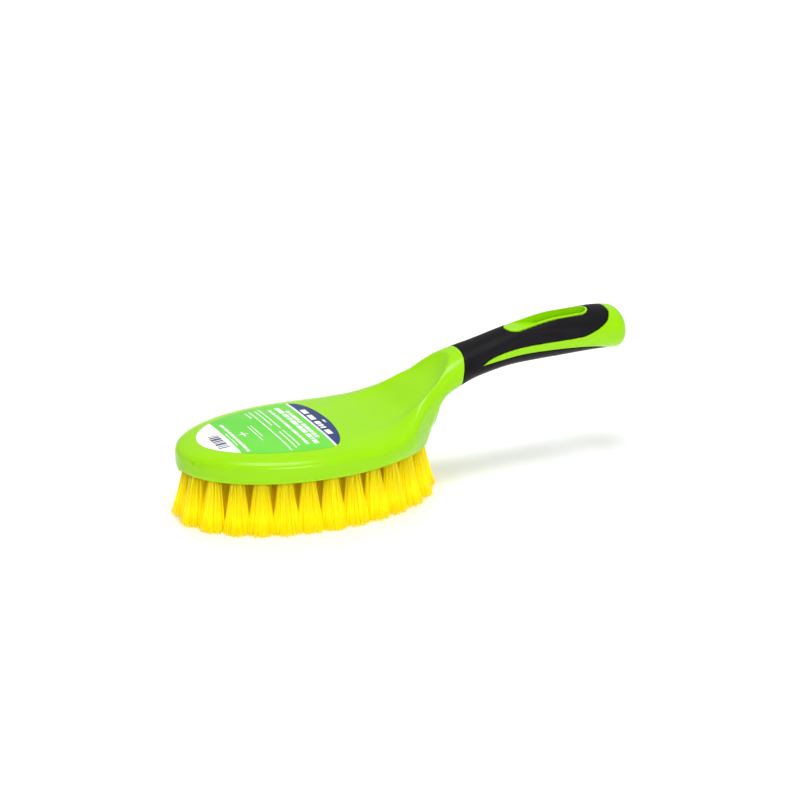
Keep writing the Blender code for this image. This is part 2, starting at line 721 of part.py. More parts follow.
def main():
    for obj in list(bpy.data.objects):
        bpy.data.objects.remove(obj)

    lime = material("lime_polypropylene", (0.36, 0.80, 0.01), 0.35)
    black = material("black_soft_rubber", (0.010, 0.009, 0.012), 0.6)
    yellow = material("yellow_bristle", (0.95, 0.80, 0.02), 0.5)
    steel = material("plated_steel", (0.70, 0.70, 0.68), 0.3, 1.0)
    film = material("label_film", (0.12, 0.60, 0.10), 0.3)

    rings = [ring_outline(RIM_INSET + ROW_PITCH * row) for row in range(3)]
    outer = spread_round(rings[0], OUTER_TUFTS)
    second = spread_round(rings[1], SECOND_TUFTS)
    third = spread_round(rings[2], THIRD_TUFTS)
    row_inset = RIM_INSET + 3.5 * ROW_PITCH
    row_start = row_inset - OVERALL_LENGTH / 2
    row_length = HEAD_LENGTH - 2 * row_inset
    centre = [
        (Vector((row_start + row_length * k / (CENTRE_TUFTS - 1), 0)), 0.0) for k in range(CENTRE_TUFTS)
    ]

    body = new_object("body", body_form(), lime)
    form = as_cutter(new_object("handle_form", body_form()))
    channel = as_cutter(new_object("grip_channel_cutter", grip_zone(0.0)))
    boolean(channel, as_cutter(new_object("channel_core", handle_core(GRIP_THICKNESS + GAP))), "DIFFERENCE")
    boolean(channel, as_cutter(new_object("channel_windows", windows(GAP))), "DIFFERENCE")
    boolean(body, channel, "DIFFERENCE")
    for cutter in hanging_slot():
        boolean(body, cutter, "DIFFERENCE")
    places = [(point, angle, TUFT_SIDES) for point, angle in outer]
    places += [(point, angle, ROW_SIDES) for point, angle in second + third + centre]
    boolean(body, tuft_holes(places), "DIFFERENCE")

    grip = new_object("grip", grip_zone(-GAP), black)
    boolean(grip, form, "INTERSECT")
    boolean(grip, as_cutter(new_object("grip_core", handle_core(GRIP_THICKNESS))), "DIFFERENCE")
    boolean(grip, as_cutter(new_object("grip_windows", windows(0.0))), "DIFFERENCE")

    film_label(film)

    pitch = min((b[0] - a[0]).length for a, b in zip(outer, outer[1:]))
    slot_size = (ANCHOR_THICKNESS + 2 * GAP, TUFT_HOLE_DIAMETER, ANCHOR_HEIGHT + 2 * GAP)
    anchor_size = (ANCHOR_THICKNESS, 2 * TUFT_RADIUS, ANCHOR_HEIGHT)
    tuft_mesh = new_mesh("tuft", flared_tuft(pitch), yellow)
    anchor_mesh = new_mesh("anchor", box(anchor_size, anchor_centre()), steel)
    slot_mesh = new_mesh("anchor_slot", box(slot_size, anchor_centre()))
    for number, (point, angle) in enumerate(outer, 1):
        tuft = link(f"tuft_{number:02}", tuft_mesh)
        anchor = link(f"anchor_{number:02}", anchor_mesh)
        slot = as_cutter(link(f"anchor_slot_{number:02}", slot_mesh))
        for obj in (tuft, anchor, slot):
            obj.matrix_world = place(point, angle)
        boolean(tuft, slot, "DIFFERENCE")

    half = ROW_PITCH / 2 - GAP
    rows = (("tufts_second_row", second, 1), ("tufts_third_row", third, 2), ("tufts_centre_row", centre, 3))
    for name, tufts, row in rows:
        inset = RIM_INSET + ROW_PITCH * row
        lean = ROW_PITCH * (3 - row) / 16
        edge = ring_outline(inset - half - lean, 36)
        hollow = ring_outline(inset + half - lean, 36) if row < 3 else None
        inner_row(name, tufts, edge, hollow, yellow)


main()
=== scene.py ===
"""Looks of a long-handled scrubbing brush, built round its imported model.

The body, the soft grip, the label and the bristles are rebuilt finer than the solids and stand for
them; the wire anchors stay. Everything is in metres: X runs from the toe of the head to the tail of
the handle, Y across, and Z up from the surface the bristle tips stand on.
"""

import logging
import math
from dataclasses import dataclass
from enum import Enum
from typing import Callable, Sequence

import bmesh
import bpy
import numpy as np
from mathutils import Matrix, Vector


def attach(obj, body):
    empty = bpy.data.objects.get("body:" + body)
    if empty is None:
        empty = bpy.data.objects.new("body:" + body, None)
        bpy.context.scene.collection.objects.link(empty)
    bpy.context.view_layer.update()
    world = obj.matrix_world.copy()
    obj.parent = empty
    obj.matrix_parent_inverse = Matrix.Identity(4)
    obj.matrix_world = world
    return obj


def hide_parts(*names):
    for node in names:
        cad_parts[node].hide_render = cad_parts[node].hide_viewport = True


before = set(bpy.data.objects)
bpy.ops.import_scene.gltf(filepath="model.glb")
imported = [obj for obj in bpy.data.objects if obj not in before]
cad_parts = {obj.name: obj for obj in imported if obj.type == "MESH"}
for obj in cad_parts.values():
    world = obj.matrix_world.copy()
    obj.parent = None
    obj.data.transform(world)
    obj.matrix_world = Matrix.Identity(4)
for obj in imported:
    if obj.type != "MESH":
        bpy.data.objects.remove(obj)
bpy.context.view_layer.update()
BODY = "root"
MM = 0.001

log = logging.getLogger("brush")


# ---- Helpers -------------------------------------------------------------------------------------
def linear(colour: str) -> tuple[float, float, float, float]:
    """Turns an sRGB hex colour into linear values.

    Args:
        colour: The colour as "#RRGGBB".

    Returns:
        Linear red, green, blue, and an alpha of 1.
    """
    channels = [int(colour[k : k + 2], 16) / 255 for k in (1, 3, 5)]
    values = [c / 12.92 if c <= 0.04045 else ((c + 0.055) / 1.055) ** 2.4 for c in channels]
    return (values[0], values[1], values[2], 1.0)


def add_node(tree: bpy.types.NodeTree, kind: str, settings: dict | None = None, links: dict | None = None):
    """Adds a node to a tree, with its settings, its values and its incoming links.

    Args:
        tree: A shader or geometry node tree.
        kind: The node's type name.
        settings: Values of the node's own properties.
        links: For an input, by name or number, the value it holds or the socket it comes from.

    Returns:
        The new node.
    """
    node = tree.nodes.new(kind)
    for name, value in (settings or {}).items():
        setattr(node, name, value)
    for name, value in (links or {}).items():
        if isinstance(value, bpy.types.NodeSocket):
            tree.links.new(value, node.inputs[name])
        else:
            node.inputs[name].default_value = value
    return node


def new_material(name: str) -> tuple[bpy.types.Material, bpy.types.NodeTree, bpy.types.Node]:
    """Makes an empty material with a Principled shader.

    Args:
        name: Name of the material.

    Returns:
        The material, its tree, and the shader node.
    """
    material = bpy.data.materials.new(name)
    material.use_nodes = True
    tree = material.node_tree
    return material, tree, tree.nodes["Principled BSDF"]


def smooth_curve(points: Sequence[tuple[float, float]]) -> Callable[[float], float]:
    """Makes a function through (place, value) points that never overshoots them.

    Args:
        points: The points, in order of place.

    Returns:
        A function from a place to a value.
    """
    xs = [place for place, _ in points]
    ys = [value for _, value in points]
    steps = [b - a for a, b in zip(xs, xs[1:])]
    slopes = [(ys[i + 1] - ys[i]) / steps[i] for i in range(len(steps))]
    tangents = [slopes[0]]
    for i in range(1, len(slopes)):
        before, after = slopes[i - 1], slopes[i]
        if before * after <= 0:
            tangents.append(0.0)
            continue
        wide, narrow = 2 * steps[i] + steps[i - 1], steps[i] + 2 * steps[i - 1]
        tangents.append((wide + narrow) / (wide / before + narrow / after))
    tangents.append(slopes[-1])

    def value(x: float) -> float:
        """Value of the curve at x."""
        if x <= xs[0]:
            return ys[0]
        if x >= xs[-1]:
            return ys[-1]
        i = max(k for k in range(len(steps)) if xs[k] <= x)
        t = (x - xs[i]) / steps[i]
        return (
            ys[i] * (1 + 2 * t) * (1 - t) ** 2
            + ys[i + 1] * t * t * (3 - 2 * t)
            + steps[i] * tangents[i] * t * (1 - t) ** 2
            - steps[i] * tangents[i + 1] * t * t * (1 - t)
        )

    return value


def rounded(share, power: float):
    """Height of a superellipse's quarter, 0 at its edge and 1 at its middle; share may be an array."""
    return (1 - np.clip(1 - share, 0.0, 1.0) ** power) ** (1 / power)


def smooth_path(points: Sequence[tuple[float, float]], steps: int) -> list[tuple[float, float]]:
    """Follows a Catmull-Rom curve through points.

    Args:
        points: The points the curve runs through.
        steps: Points of the path for each of these.

    Returns:
        Points on the curve, both ends included.
    """
    padded = [points[0], *points, points[-1]]
    path = []
    for a, b, c, d in zip(padded, padded[1:], padded[2:], padded[3:]):
        for k in range(steps):
            t = k / steps
            path.append(
                tuple(
                    0.5
                    * (
                        2 * q
                        + (r - p) * t
                        + (2 * p - 5 * q + 4 * r - s) * t * t
                        + (3 * q - p - 3 * r + s) * t**3
                    )
                    for p, q, r, s in zip(a, b, c, d)
                )
            )
    return path + [tuple(points[-1])]


def offset_outline(outline: Sequence[tuple[float, float]], distance: float) -> list[tuple[float, float]]:
    """Moves an anticlockwise outline outwards.

    Args:
        outline: Points of the outline.
        distance: How far it moves; a negative distance moves it inwards.

    Returns:
        Points of the moved outline.
    """
    moved = []
    for k, (x, z) in enumerate(outline):
        (px, pz), (nx, nz) = outline[k - 1], outline[(k + 1) % len(outline)]
        before = Vector((z - pz, px - x)).normalized()
        after = Vector((nz - z, x - nx)).normalized()
        normal = (before + after).normalized()
        reach = distance / max(normal.dot(after), 0.5)
        moved.append((x + normal.x * reach, z + normal.y * reach))
    return moved


def skin(
    bm: bmesh.types.BMesh, rings: Sequence, start: Vector | None = None, end: Vector | None = None
) -> None:
    """Joins rings of as many points each into a closed form.

    Args:
        bm: The mesh it goes into.
        rings: The rings, each a sequence of points.
        start: Point that the first ring closes on; without one it closes on a flat face.
        end: The same for the last ring.
    """
    loops = [[bm.verts.new(point) for point in ring] for ring in rings]
    for near, far in zip(loops, loops[1:]):
        for k in range(len(near)):
            j = (k + 1) % len(near)
            bm.faces.new((near[k], near[j], far[j], far[k]))
    for loop, point in ((loops[0], start), (loops[-1], end)):
        if point is None:
            bm.faces.new(loop)
            continue
        tip = bm.verts.new(point)
        for k in range(len(loop)):
            bm.faces.new((loop[k], loop[(k + 1) % len(loop)], tip))


class Cut(Enum):
    """What a Boolean keeps of two forms."""

    AWAY = "DIFFERENCE"
    COMMON = "INTERSECT"


def new_object(name: str, bm: bmesh.types.BMesh, material: bpy.types.Material | None = None):
    """Makes an object from a bmesh, with its faces outwards.

    Args:
        name: Name of the object.
        bm: The mesh, which is freed.
        material: Its material.

    Returns:
        The new object, linked to the scene.
    """
    bmesh.ops.recalc_face_normals(bm, faces=bm.faces)
    mesh = bpy.data.meshes.new(name)
    bm.to_mesh(mesh)
    bm.free()
    if material:
        mesh.materials.append(material)
    obj = bpy.data.objects.new(name, mesh)
    bpy.context.scene.collection.objects.link(obj)
    return obj


def settle(obj: bpy.types.Object) -> None:
    """Makes what an object's modifiers give its plain mesh, and takes the modifiers away."""
    bpy.context.view_layer.update()
    graph = bpy.context.evaluated_depsgraph_get()
    mesh = bpy.data.meshes.new_from_object(obj.evaluated_get(graph), depsgraph=graph)
    obj.modifiers.clear()
    obj.data = mesh


def carve(obj: bpy.types.Object, steps: Sequence[tuple[bpy.types.Object, Cut]]) -> None:
    """Runs exact Booleans on an object and removes the forms that cut it.

    Args:
        obj: The object that is cut.
        steps: Each cutter and what is kept.
    """
    for cutter, keep in steps:
        modifier = obj.modifiers.new(cutter.name, "BOOLEAN")
        modifier.operation = keep.value
        modifier.solver = "EXACT"
        modifier.object = cutter
    settle(obj)
    for cutter, _ in steps:
        bpy.data.objects.remove(cutter)


def shade(obj: bpy.types.Object, sharp: float = 32.0) -> None:
    """Shades an object smooth except at edges sharper than this many degrees."""
    obj.data.shade_smooth()
    obj.data.set_sharp_from_angle(angle=math.radians(sharp))


def hand_over(obj: bpy.types.Object, nodes: Sequence[str]) -> None:
    """Fixes a finished piece to the frame and reports it.

    Args:
        obj: The finished piece.
        nodes: The solids it stands for.
    """
    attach(obj, BODY)
    if nodes:
        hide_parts(*nodes)
    obj.data.calc_loop_triangles()
    log.info("%s: %d triangles, stands for %d nodes", obj.name, len(obj.data.loop_triangles), len(nodes))


# ---- Finishes ------------------------------------------------------------------------------------
@dataclass(frozen=True)
class MouldedPolypropylene:
    """Lime green polypropylene, injection moulded in a lightly textured steel mould.

    It is a little cloudy, so light softens inside it, and its satin skin carries very fine sparks.
    """

    colour: str = "#9ADA00"
    flow_colour: str = "#92D400"
    roughness: float = 0.24
    grain: float = 0.45 * MM  # real mould grain is 0.1 mm; drawn coarser so that it shows
    grain_height: float = 0.006 * MM
    flow_size: float = 38 * MM

    def build(self) -> bpy.types.Material:
        """Builds the material."""
        material, tree, shader = new_material("moulded_lime_polypropylene")
        place = add_node(tree, "ShaderNodeTexCoord").outputs["Object"]
        flow = add_node(
            tree,
            "ShaderNodeTexNoise",
            links={"Vector": place, "Scale": 1 / self.flow_size, "Detail": 2.0, "Roughness": 0.4},
        )
        colour = add_node(
            tree,
            "ShaderNodeMix",
            {"data_type": "RGBA"},
            {0: flow.outputs[0], 6: linear(self.colour), 7: linear(self.flow_colour)},
        )
        grain = add_node(
            tree, "ShaderNodeTexNoise", links={"Vector": place, "Scale": 1 / self.grain, "Detail": 1.0}
        )
        bump = add_node(
            tree,
            "ShaderNodeBump",
            links={"Height": grain.outputs[0], "Distance": self.grain_height, "Strength": 1.0},
        )
        satin = add_node(
            tree,
            "ShaderNodeMapRange",
            links={
                "Value": flow.outputs[0],
                "To Min": self.roughness - 0.04,
                "To Max": self.roughness + 0.05,
            },
        )
        tree.links.new(colour.outputs[2], shader.inputs["Base Color"])
        tree.links.new(satin.outputs[0], shader.inputs["Roughness"])
        tree.links.new(bump.outputs[0], shader.inputs["Normal"])
        shader.inputs["IOR"].default_value = 1.49
        shader.inputs["Specular IOR Level"].default_value = 0.26
        shader.inputs["Subsurface Weight"].default_value = 0.12
        shader.inputs["Subsurface Radius"].default_value = (0.8, 1.0, 0.1)
        shader.inputs["Subsurface Scale"].default_value = 1.2 * MM
        return material


@dataclass(frozen=True)
class SoftRubber:
    """Black thermoplastic rubber moulded over the handle: matt, with a dry fine grain and faint sheen."""

    colour: str = "#0C0B0E"
    worn_colour: str = "#141316"
    roughness: float = 0.47
    grain: float = 0.5 * MM  # real spark-eroded grain is 0.15 mm; drawn coarser so that it shows
    grain_height: float = 0.03 * MM
    patch: float = 14 * MM

    def build(self) -> bpy.types.Material:
        """Builds the material."""
        material, tree, shader = new_material("overmoulded_black_soft_rubber")
        place = add_node(tree, "ShaderNodeTexCoord").outputs["Object"]
        patches = add_node(
            tree, "ShaderNodeTexNoise", links={"Vector": place, "Scale": 1 / self.patch, "Detail": 3.0}
        )
        colour = add_node(
            tree,
            "ShaderNodeMix",
            {"data_type": "RGBA"},
            {0: patches.outputs[0], 6: linear(self.colour), 7: linear(self.worn_colour)},
        )
        dry = add_node(
            tree,
            "ShaderNodeMapRange",
            links={
                "Value": patches.outputs[0],
                "To Min": self.roughness - 0.08,
                "To Max": self.roughness + 0.10,
            },
        )
        grain = add_node(
            tree, "ShaderNodeTexVoronoi", links={"Vector": place, "Scale": 1 / self.grain}
        )
        bump = add_node(
            tree,
            "ShaderNodeBump",
            links={"Height": grain.outputs["Distance"], "Distance": self.grain_height, "Strength": 0.7},
        )
        tree.links.new(colour.outputs[2], shader.inputs["Base Color"])
        tree.links.new(dry.outputs[0], shader.inputs["Roughness"])
        tree.links.new(bump.outputs[0], shader.inputs["Normal"])
        shader.inputs["IOR"].default_value = 1.5
        shader.inputs["Specular IOR Level"].default_value = 0.12
        return material


@dataclass(frozen=True)
class BristleFilament:
    """Extruded yellow polyester monofilament: each filament a little lighter or darker than the next, darker
    towards its root as painted shade and glowing towards its tip as painted light.
    """

    name: str = "yellow_polyester_filament"
    colour: str = "#FCF400"
    # Darker colour, used both for each filament's random tone and for the painted shade at its root.
    dark_tone_and_root_shade_colour: str = "#F8E200"
    roughness: float = 0.42
    glow_colour: str = "#FFDA00"
    glow: float = 0.30  # stands for the light that passes on through clear filaments, at their tips

    def build(self) -> bpy.types.Material:
        """Builds the material; it reads the shade and the place along each filament."""
        material, tree, shader = new_material(self.name)
        tone = add_node(tree, "ShaderNodeAttribute", {"attribute_name": "shade"})
        along = add_node(tree, "ShaderNodeAttribute", {"attribute_name": "along"})
        # Painted shade: the filaments darken towards their roots, where the tufts shade one another; each
        # filament's random shade adds to it.
        root = add_node(
            tree,
            "ShaderNodeMapRange",
            links={"Value": along.outputs["Fac"], "From Max": 0.35, "To Min": 0.55, "To Max": 0.0},
        )
        depth = add_node(
            tree,
            "ShaderNodeMath",
            {"operation": "MULTIPLY_ADD", "use_clamp": True},
            {0: tone.outputs["Fac"], 1: 0.6, 2: root.outputs[0]},
        )
        colour = add_node(
            tree,
            "ShaderNodeMix",
            {"data_type": "RGBA"},
            {0: depth.outputs[0], 6: linear(self.colour), 7: linear(self.dark_tone_and_root_shade_colour)},
        )
        glow = add_node(
            tree,
            "ShaderNodeMapRange",
            links={"Value": along.outputs["Fac"], "From Min": 0.15, "From Max": 0.75, "To Max": self.glow},
        )
        tree.links.new(colour.outputs[2], shader.inputs["Base Color"])
        tree.links.new(glow.outputs[0], shader.inputs["Emission Strength"])
        shader.inputs["Roughness"].default_value = self.roughness
        shader.inputs["IOR"].default_value = 1.57
        shader.inputs["Specular IOR Level"].default_value = 0.2
        shader.inputs["Emission Color"].default_value = linear(self.glow_colour)
        return material


@dataclass(frozen=True)
class PlatedSteel:
    """Drawn flat wire, bright plated: fine lengthwise scratches blur what it reflects."""

    colour: str = "#D9D8D2"
    scratch: float = 0.2 * MM
    stretch: float = 12.0

    def build(self) -> bpy.types.Material:
        """Builds the material."""
        material, tree, shader = new_material("plated_steel_wire")
        place = add_node(tree, "ShaderNodeTexCoord").outputs["Object"]
        drawn = add_node(
            tree, "ShaderNodeMapping", links={"Vector": place, "Scale": (1.0, 1.0, self.stretch)}
        )
        lines = add_node(
            tree, "ShaderNodeTexNoise", links={"Vector": drawn.outputs[0], "Scale": 0.1 / self.scratch}
        )
        blur = add_node(
            tree,
            "ShaderNodeMapRange",
            links={"Value": lines.outputs[0], "To Min": 0.22, "To Max": 0.42},
        )
        tree.links.new(blur.outputs[0], shader.inputs["Roughness"])
        shader.inputs["Base Color"].default_value = linear(self.colour)
        shader.inputs["Metallic"].default_value = 1.0
        return material


class Ink(Enum):
    """Inks of the printed label."""

    GREEN = "#58CA38"
    PALE_GREEN = "#7CDA4C"
    WHITE = "#F6F8F6"
    NAVY = "#2B3F70"
    SLATE = "#4B5168"


@dataclass(frozen=True)
class PrintedPatch:
    """A printed patch of the label: distances from the toe and across the brush, in millimetres.

    Where words is set, the patch breaks into short strokes like a line of small print.
    """

    start: float
    end: float
    left: float
    right: float
    ink: Ink
    words: float = 0.0


@dataclass(frozen=True)
class LabelFilm:
    """Printed polypropylene film under clear varnish: flat inks, glossier than the moulding round it."""

    patches: tuple[PrintedPatch, ...]
    roughness: float = 0.22
    skew: float = 0.028  # the film is stuck on a little askew
    tint_size: float = 30 * MM
    word_shift: float = 17.3  # keeps the strokes of one line different from the next
    word_gap: float = 0.44  # where the noise is below this, the ground between two strokes shows

    def build(self, toe: float) -> bpy.types.Material:
        """Builds the material.

        Args:
            toe: Place of the brush's toe on X.

        Returns:
            The material.
        """
        material, tree, shader = new_material("varnished_printed_film")
        place = add_node(tree, "ShaderNodeTexCoord").outputs["Object"]
        axes = add_node(tree, "ShaderNodeSeparateXYZ", links={0: place})
        along = add_node(
            tree,
            "ShaderNodeMath",
            {"operation": "MULTIPLY_ADD"},
            {0: axes.outputs["X"], 1: 1 / MM, 2: -toe / MM},
        )
        across = add_node(
            tree, "ShaderNodeMath", {"operation": "MULTIPLY"}, {0: axes.outputs["Y"], 1: 1 / MM}
        )
        along = add_node(
            tree,
            "ShaderNodeMath",
            {"operation": "MULTIPLY_ADD"},
            {0: across.outputs[0], 1: self.skew, 2: along.outputs[0]},
        )
        tint = add_node(
            tree, "ShaderNodeTexNoise", links={"Vector": place, "Scale": 1 / self.tint_size, "Detail": 1.0}
        )
        field = add_node(
            tree,
            "ShaderNodeMix",
            {"data_type": "RGBA"},
            {0: tint.outputs[0], 6: linear(Ink.GREEN.value), 7: linear(Ink.PALE_GREEN.value)},
        )
        printed = field.outputs[2]
        for number, patch in enumerate(self.patches):
            masks = []
            for axis, low, high in (
                (along, patch.start, patch.end),
                (across, patch.left, patch.right),
            ):
                inside = add_node(
                    tree,
                    "ShaderNodeMath",
                    {"operation": "COMPARE"},
                    {0: axis.outputs[0], 1: (low + high) / 2, 2: (high - low) / 2},
                )
                masks.append(inside.outputs[0])
            mask = add_node(tree, "ShaderNodeMath", {"operation": "MULTIPLY"}, {0: masks[0], 1: masks[1]})
            if patch.words:
                row = add_node(
                    tree,
                    "ShaderNodeMath",
                    {"operation": "MULTIPLY_ADD"},
                    {0: across.outputs[0], 1: patch.words, 2: self.word_shift * number},
                )
                letters = add_node(
                    tree,
                    "ShaderNodeTexNoise",
                    {"noise_dimensions": "1D"},
                    {"W": row.outputs[0], "Scale": 1.0, "Detail": 2.0},
                )
                ink_on = add_node(
                    tree,
                    "ShaderNodeMath",
                    {"operation": "GREATER_THAN"},
                    {0: letters.outputs[0], 1: self.word_gap},
                )
                mask = add_node(
                    tree,
                    "ShaderNodeMath",
                    {"operation": "MULTIPLY"},
                    {0: mask.outputs[0], 1: ink_on.outputs[0]},
                )
            mixed = add_node(
                tree,
                "ShaderNodeMix",
                {"data_type": "RGBA"},
                {0: mask.outputs[0], 6: printed, 7: linear(patch.ink.value)},
            )
            printed = mixed.outputs[2]
        tree.links.new(printed, shader.inputs["Base Color"])
        shader.inputs["Roughness"].default_value = self.roughness
        shader.inputs["IOR"].default_value = 1.5
        shader.inputs["Specular IOR Level"].default_value = 0.2
        return material


@dataclass(frozen=True)
class StudioPaper:
    """Matt white studio paper with a barely visible tooth."""

    colour: str = "#FBFBFA"
    tooth: float = 4 * MM
    tooth_height: float = 0.02 * MM

    def build(self) -> bpy.types.Material:
        """Builds the material."""
        material, tree, shader = new_material("matt_studio_paper")
        place = add_node(tree, "ShaderNodeTexCoord").outputs["Object"]
        tooth = add_node(tree, "ShaderNodeTexNoise", links={"Vector": place, "Scale": 1 / self.tooth})
        bump = add_node(
            tree,
            "ShaderNodeBump",
            links={"Height": tooth.outputs[0], "Distance": self.tooth_height, "Strength": 0.3},
        )
        tree.links.new(bump.outputs[0], shader.inputs["Normal"])
        shader.inputs["Base Color"].default_value = linear(self.colour)
        shader.inputs["Roughness"].default_value = 0.9
        shader.inputs["Specular IOR Level"].default_value = 0.1
        return material


# ---- The form that the body and the grip share ---------------------------------------------------
@dataclass(frozen=True)
class BrushForm:
    """Sizes and curves of the outside of the brush, the same as the solids'."""

    length: float = 0.283
    head_length: float = 0.155
    head_width: float = 0.0980
    head_thickness: float = 0.0160
    widest_from_toe: float = 0.080
    bristle_height: float = 0.0315
    handle_width: float = 0.033
    handle_depth: float = 0.0265
    handle_rise: float = 0.0475
    rim_level: float = 0.42
    rim_draft: float = 0.0012
    rim_round: float = 0.049
    tail_round: float = 0.008
    tail_power: float = 2.6
    widest_share: float = 0.985
    scoop_start: float = 0.105
    scoop_length: float = 0.0635
    scoop_half_width: float = 0.0265
    scoop_depth: float = 0.0115
    scoop_fade: float = 1.6
    scoop_wall: float = 7.0
    core_start: float = 0.12
    core_end: float = 0.965
    points_over: int = 48
    points_under: int = 32
    toe_density: float = 1.3
    tail_sections: int = 12

    def __post_init__(self) -> None:
        """Makes the curves that the sections follow."""
        top = self.bristle_height + self.head_thickness
        climb = self.bristle_height + self.handle_rise - top
        places = (0.10, 0.256, 0.44, 0.664, 0.85, 1.0)
        every = (0.0, *places)
        line = smooth_curve(list(zip(every, (0.62, 0.716, 0.849, 0.947, 1.0, 1.008, 0.977))))
        depth = smooth_curve(list(zip(every, (0.86, 0.858, 0.795, 0.87, 1.0, 0.975, 0.96))))
        centres = [(self.on_handle(s), self.bristle_height + self.handle_rise * line(s)) for s in places]
        halves = [self.handle_depth / 2 * depth(s) for s in places]
        head = self.head_length
        low = self.bristle_height
        rim = low + self.rim_level * self.head_thickness
        curves = {
            "centre_line": lambda x: low + self.handle_rise * line((x - head) / (self.length - head)),
            "half_depth": lambda x: self.handle_depth / 2 * depth((x - head) / (self.length - head)),
            "top": smooth_curve(
                [
                    (0.0, top - 0.8 * MM),
                    (0.3 * head, top),
                    (0.65 * head, top - 0.6 * MM),
                    (0.76 * head, top + 0.03 * climb),
                    (0.85 * head, top + 0.20 * climb),
                    (0.96 * head, top + 0.61 * climb),
                ]
                + [(x, z + half) for (x, z), half in zip(centres, halves)]
            ),
            "level": smooth_curve(
                [
                    (0.0, rim),
                    (0.65 * head, rim),
                    (0.85 * head, low + 0.66 * self.head_thickness),
                    (0.96 * head, top + 0.12 * climb),
                ]
                + centres
            ),
            "arch": smooth_curve(
                [
                    (head, low),
                    (head + 1.0 * MM, low + 0.14 * self.handle_rise),
                    (head + 3.0 * MM, low + 0.27 * self.handle_rise),
                    (head + 7.0 * MM, low + 0.39 * self.handle_rise),
                ]
                + [(x, z - half) for (x, z), half in zip(centres, halves)]
            ),
            "neck_width": smooth_curve(
                [
                    (self.widest_from_toe, self.head_width / 2),
                    (0.69 * head, 0.96 * self.head_width / 2),
                    (0.845 * head, 0.78 * self.head_width / 2),
                    (0.935 * head, 0.525 * self.head_width / 2),
                    (head, 1.20 * self.handle_width / 2),
                ]
                + [
                    (self.on_handle(s), share * self.handle_width / 2)
                    for s, share in zip(places, (1.01, 0.83, 0.81, 0.90, 1.0, 0.97))
                ]
            ),
            "upper_power": smooth_curve([(0.6 * head, 3.2), (head, 2.5), (self.on_handle(0.3), 2.1)]),
            "lower_power": smooth_curve(
                [
                    (0.6 * head, 4.0),
                    (0.85 * head, 2.2),
                    (0.95 * head, 1.7),
                    (1.02 * head, 1.7),
                    (self.on_handle(0.12), 2.0),
                ]
            ),
        }
        for name, curve in curves.items():
            object.__setattr__(self, name, curve)

    @property
    def toe(self) -> float:
        """Place of the toe on X."""
        return -self.length / 2

    def on_handle(self, share: float) -> float:
        """Distance from the toe of a point this share of the way along the handle."""
        return self.head_length + share * (self.length - self.head_length)

    def on_side(self, share: float, level: float) -> tuple[float, float]:
        """Point of the side view: a share along the handle, and -1 to 1 from its bottom to its top."""
        x = self.on_handle(share)
        return x, self.centre_line(x) + level * self.half_depth(x)

    def half_width(self, x: float) -> float:
        """Half width of the outline at this distance from the toe."""
        if x >= self.widest_from_toe:
            return self.neck_width(x)
        share = 1 - x / self.widest_from_toe
        return self.head_width / 2 * math.sqrt(max(0.0, 1 - share * share))

    def reach_below(self, x: float, half_width: float) -> float:
        """How far a section reaches below its widest level, past the flat underside if it has one."""
        level = self.level(x)
        if x >= self.head_length:
            return level - self.arch(x)
        before = x < self.widest_from_toe
        reach = self.widest_from_toe if before else self.head_length - self.widest_from_toe
        share = (x - self.widest_from_toe) / (reach - self.rim_draft)
        flat = (self.head_width / 2 - self.rim_draft) * math.sqrt(max(0.0, 1 - share * share))
        share = min(flat / half_width, self.widest_share) if half_width else 0.0
        power = self.lower_power(x)
        return (level - self.bristle_height) / (1 - share**power) ** (1 / power)

    def dip(self, x: float, y: np.ndarray) -> np.ndarray:
        """How far the scoop lowers the top; its wall is steepest at the apex and fades towards the head."""
        share = (x - self.scoop_start) / self.scoop_length
        if not 0 < share < 1:
            return np.zeros_like(y)
        edge = np.sqrt(share**2 + (y / self.scoop_half_width) ** 2)
        return self.scoop_depth * share**self.scoop_fade * np.maximum(1 - edge**self.scoop_wall, 0.0)

    def toe_share(self, x: float) -> float:
        """How much of its height the top has this near the toe."""
        return float(rounded(x / self.rim_round, self.upper_power(x))) if x < self.rim_round else 1.0

    def section(self, x: float, inset: float = 0.0) -> np.ndarray:
        """Points round the brush at a distance from the toe.

        Args:
            x: Distance from the toe.
            inset: How far below the surface the points lie.

        Returns:
            One row for each point, from +Y over the top.
        """
        into_tail = (x - (self.length - self.tail_round)) / self.tail_round
        tail = float(rounded(1 - into_tail, self.tail_power)) if into_tail > 0 else 1.0
        level = self.level(x)
        half_width = self.half_width(x)
        up = (self.top(x) - level) * self.toe_share(x) * tail - inset
        down = self.reach_below(x, half_width) * tail - inset
        half_width = half_width * tail - inset
        over = np.pi * np.arange(self.points_over * 2) / (self.points_over * 2)
        under = np.pi + np.pi * np.arange(self.points_under * 2) / (self.points_under * 2)
        rows = []
        for angles, power, sign in (
            (over, self.upper_power(x), 1),
            (under, self.lower_power(x), -1),
        ):
            cosine, sine = np.cos(angles), np.abs(np.sin(angles))
            y = half_width * np.copysign(np.abs(cosine) ** (2 / power), cosine)
            z = sine ** (2 / power)
            z = level + up * z - self.dip(x, y) if sign > 0 else level - down * z
            rows.append(np.stack([np.full_like(y, x + self.toe), y, z], axis=1))
        return np.concatenate(rows)

    def stations(self, step: float) -> list[float]:
        """Distances from the toe of the sections.

        Args:
            step: Distance between two sections away from the ends.

        Returns:
            The distances, closer together towards both ends.
        """
        front, quarter = self.widest_from_toe, math.pi / 2
        toe_count = round(self.toe_density * front / step)
        found = [front * (1 - math.cos(quarter * k / toe_count)) for k in range(1, toe_count)]
        tail_start = self.length - self.tail_round
        span = tail_start - front
        count = round(span / step)
        found += [front + span * k / count for k in range(count)]
        for k in range(self.tail_sections):
            found.append(tail_start + self.tail_round * math.sin(quarter * k / self.tail_sections))
        return found

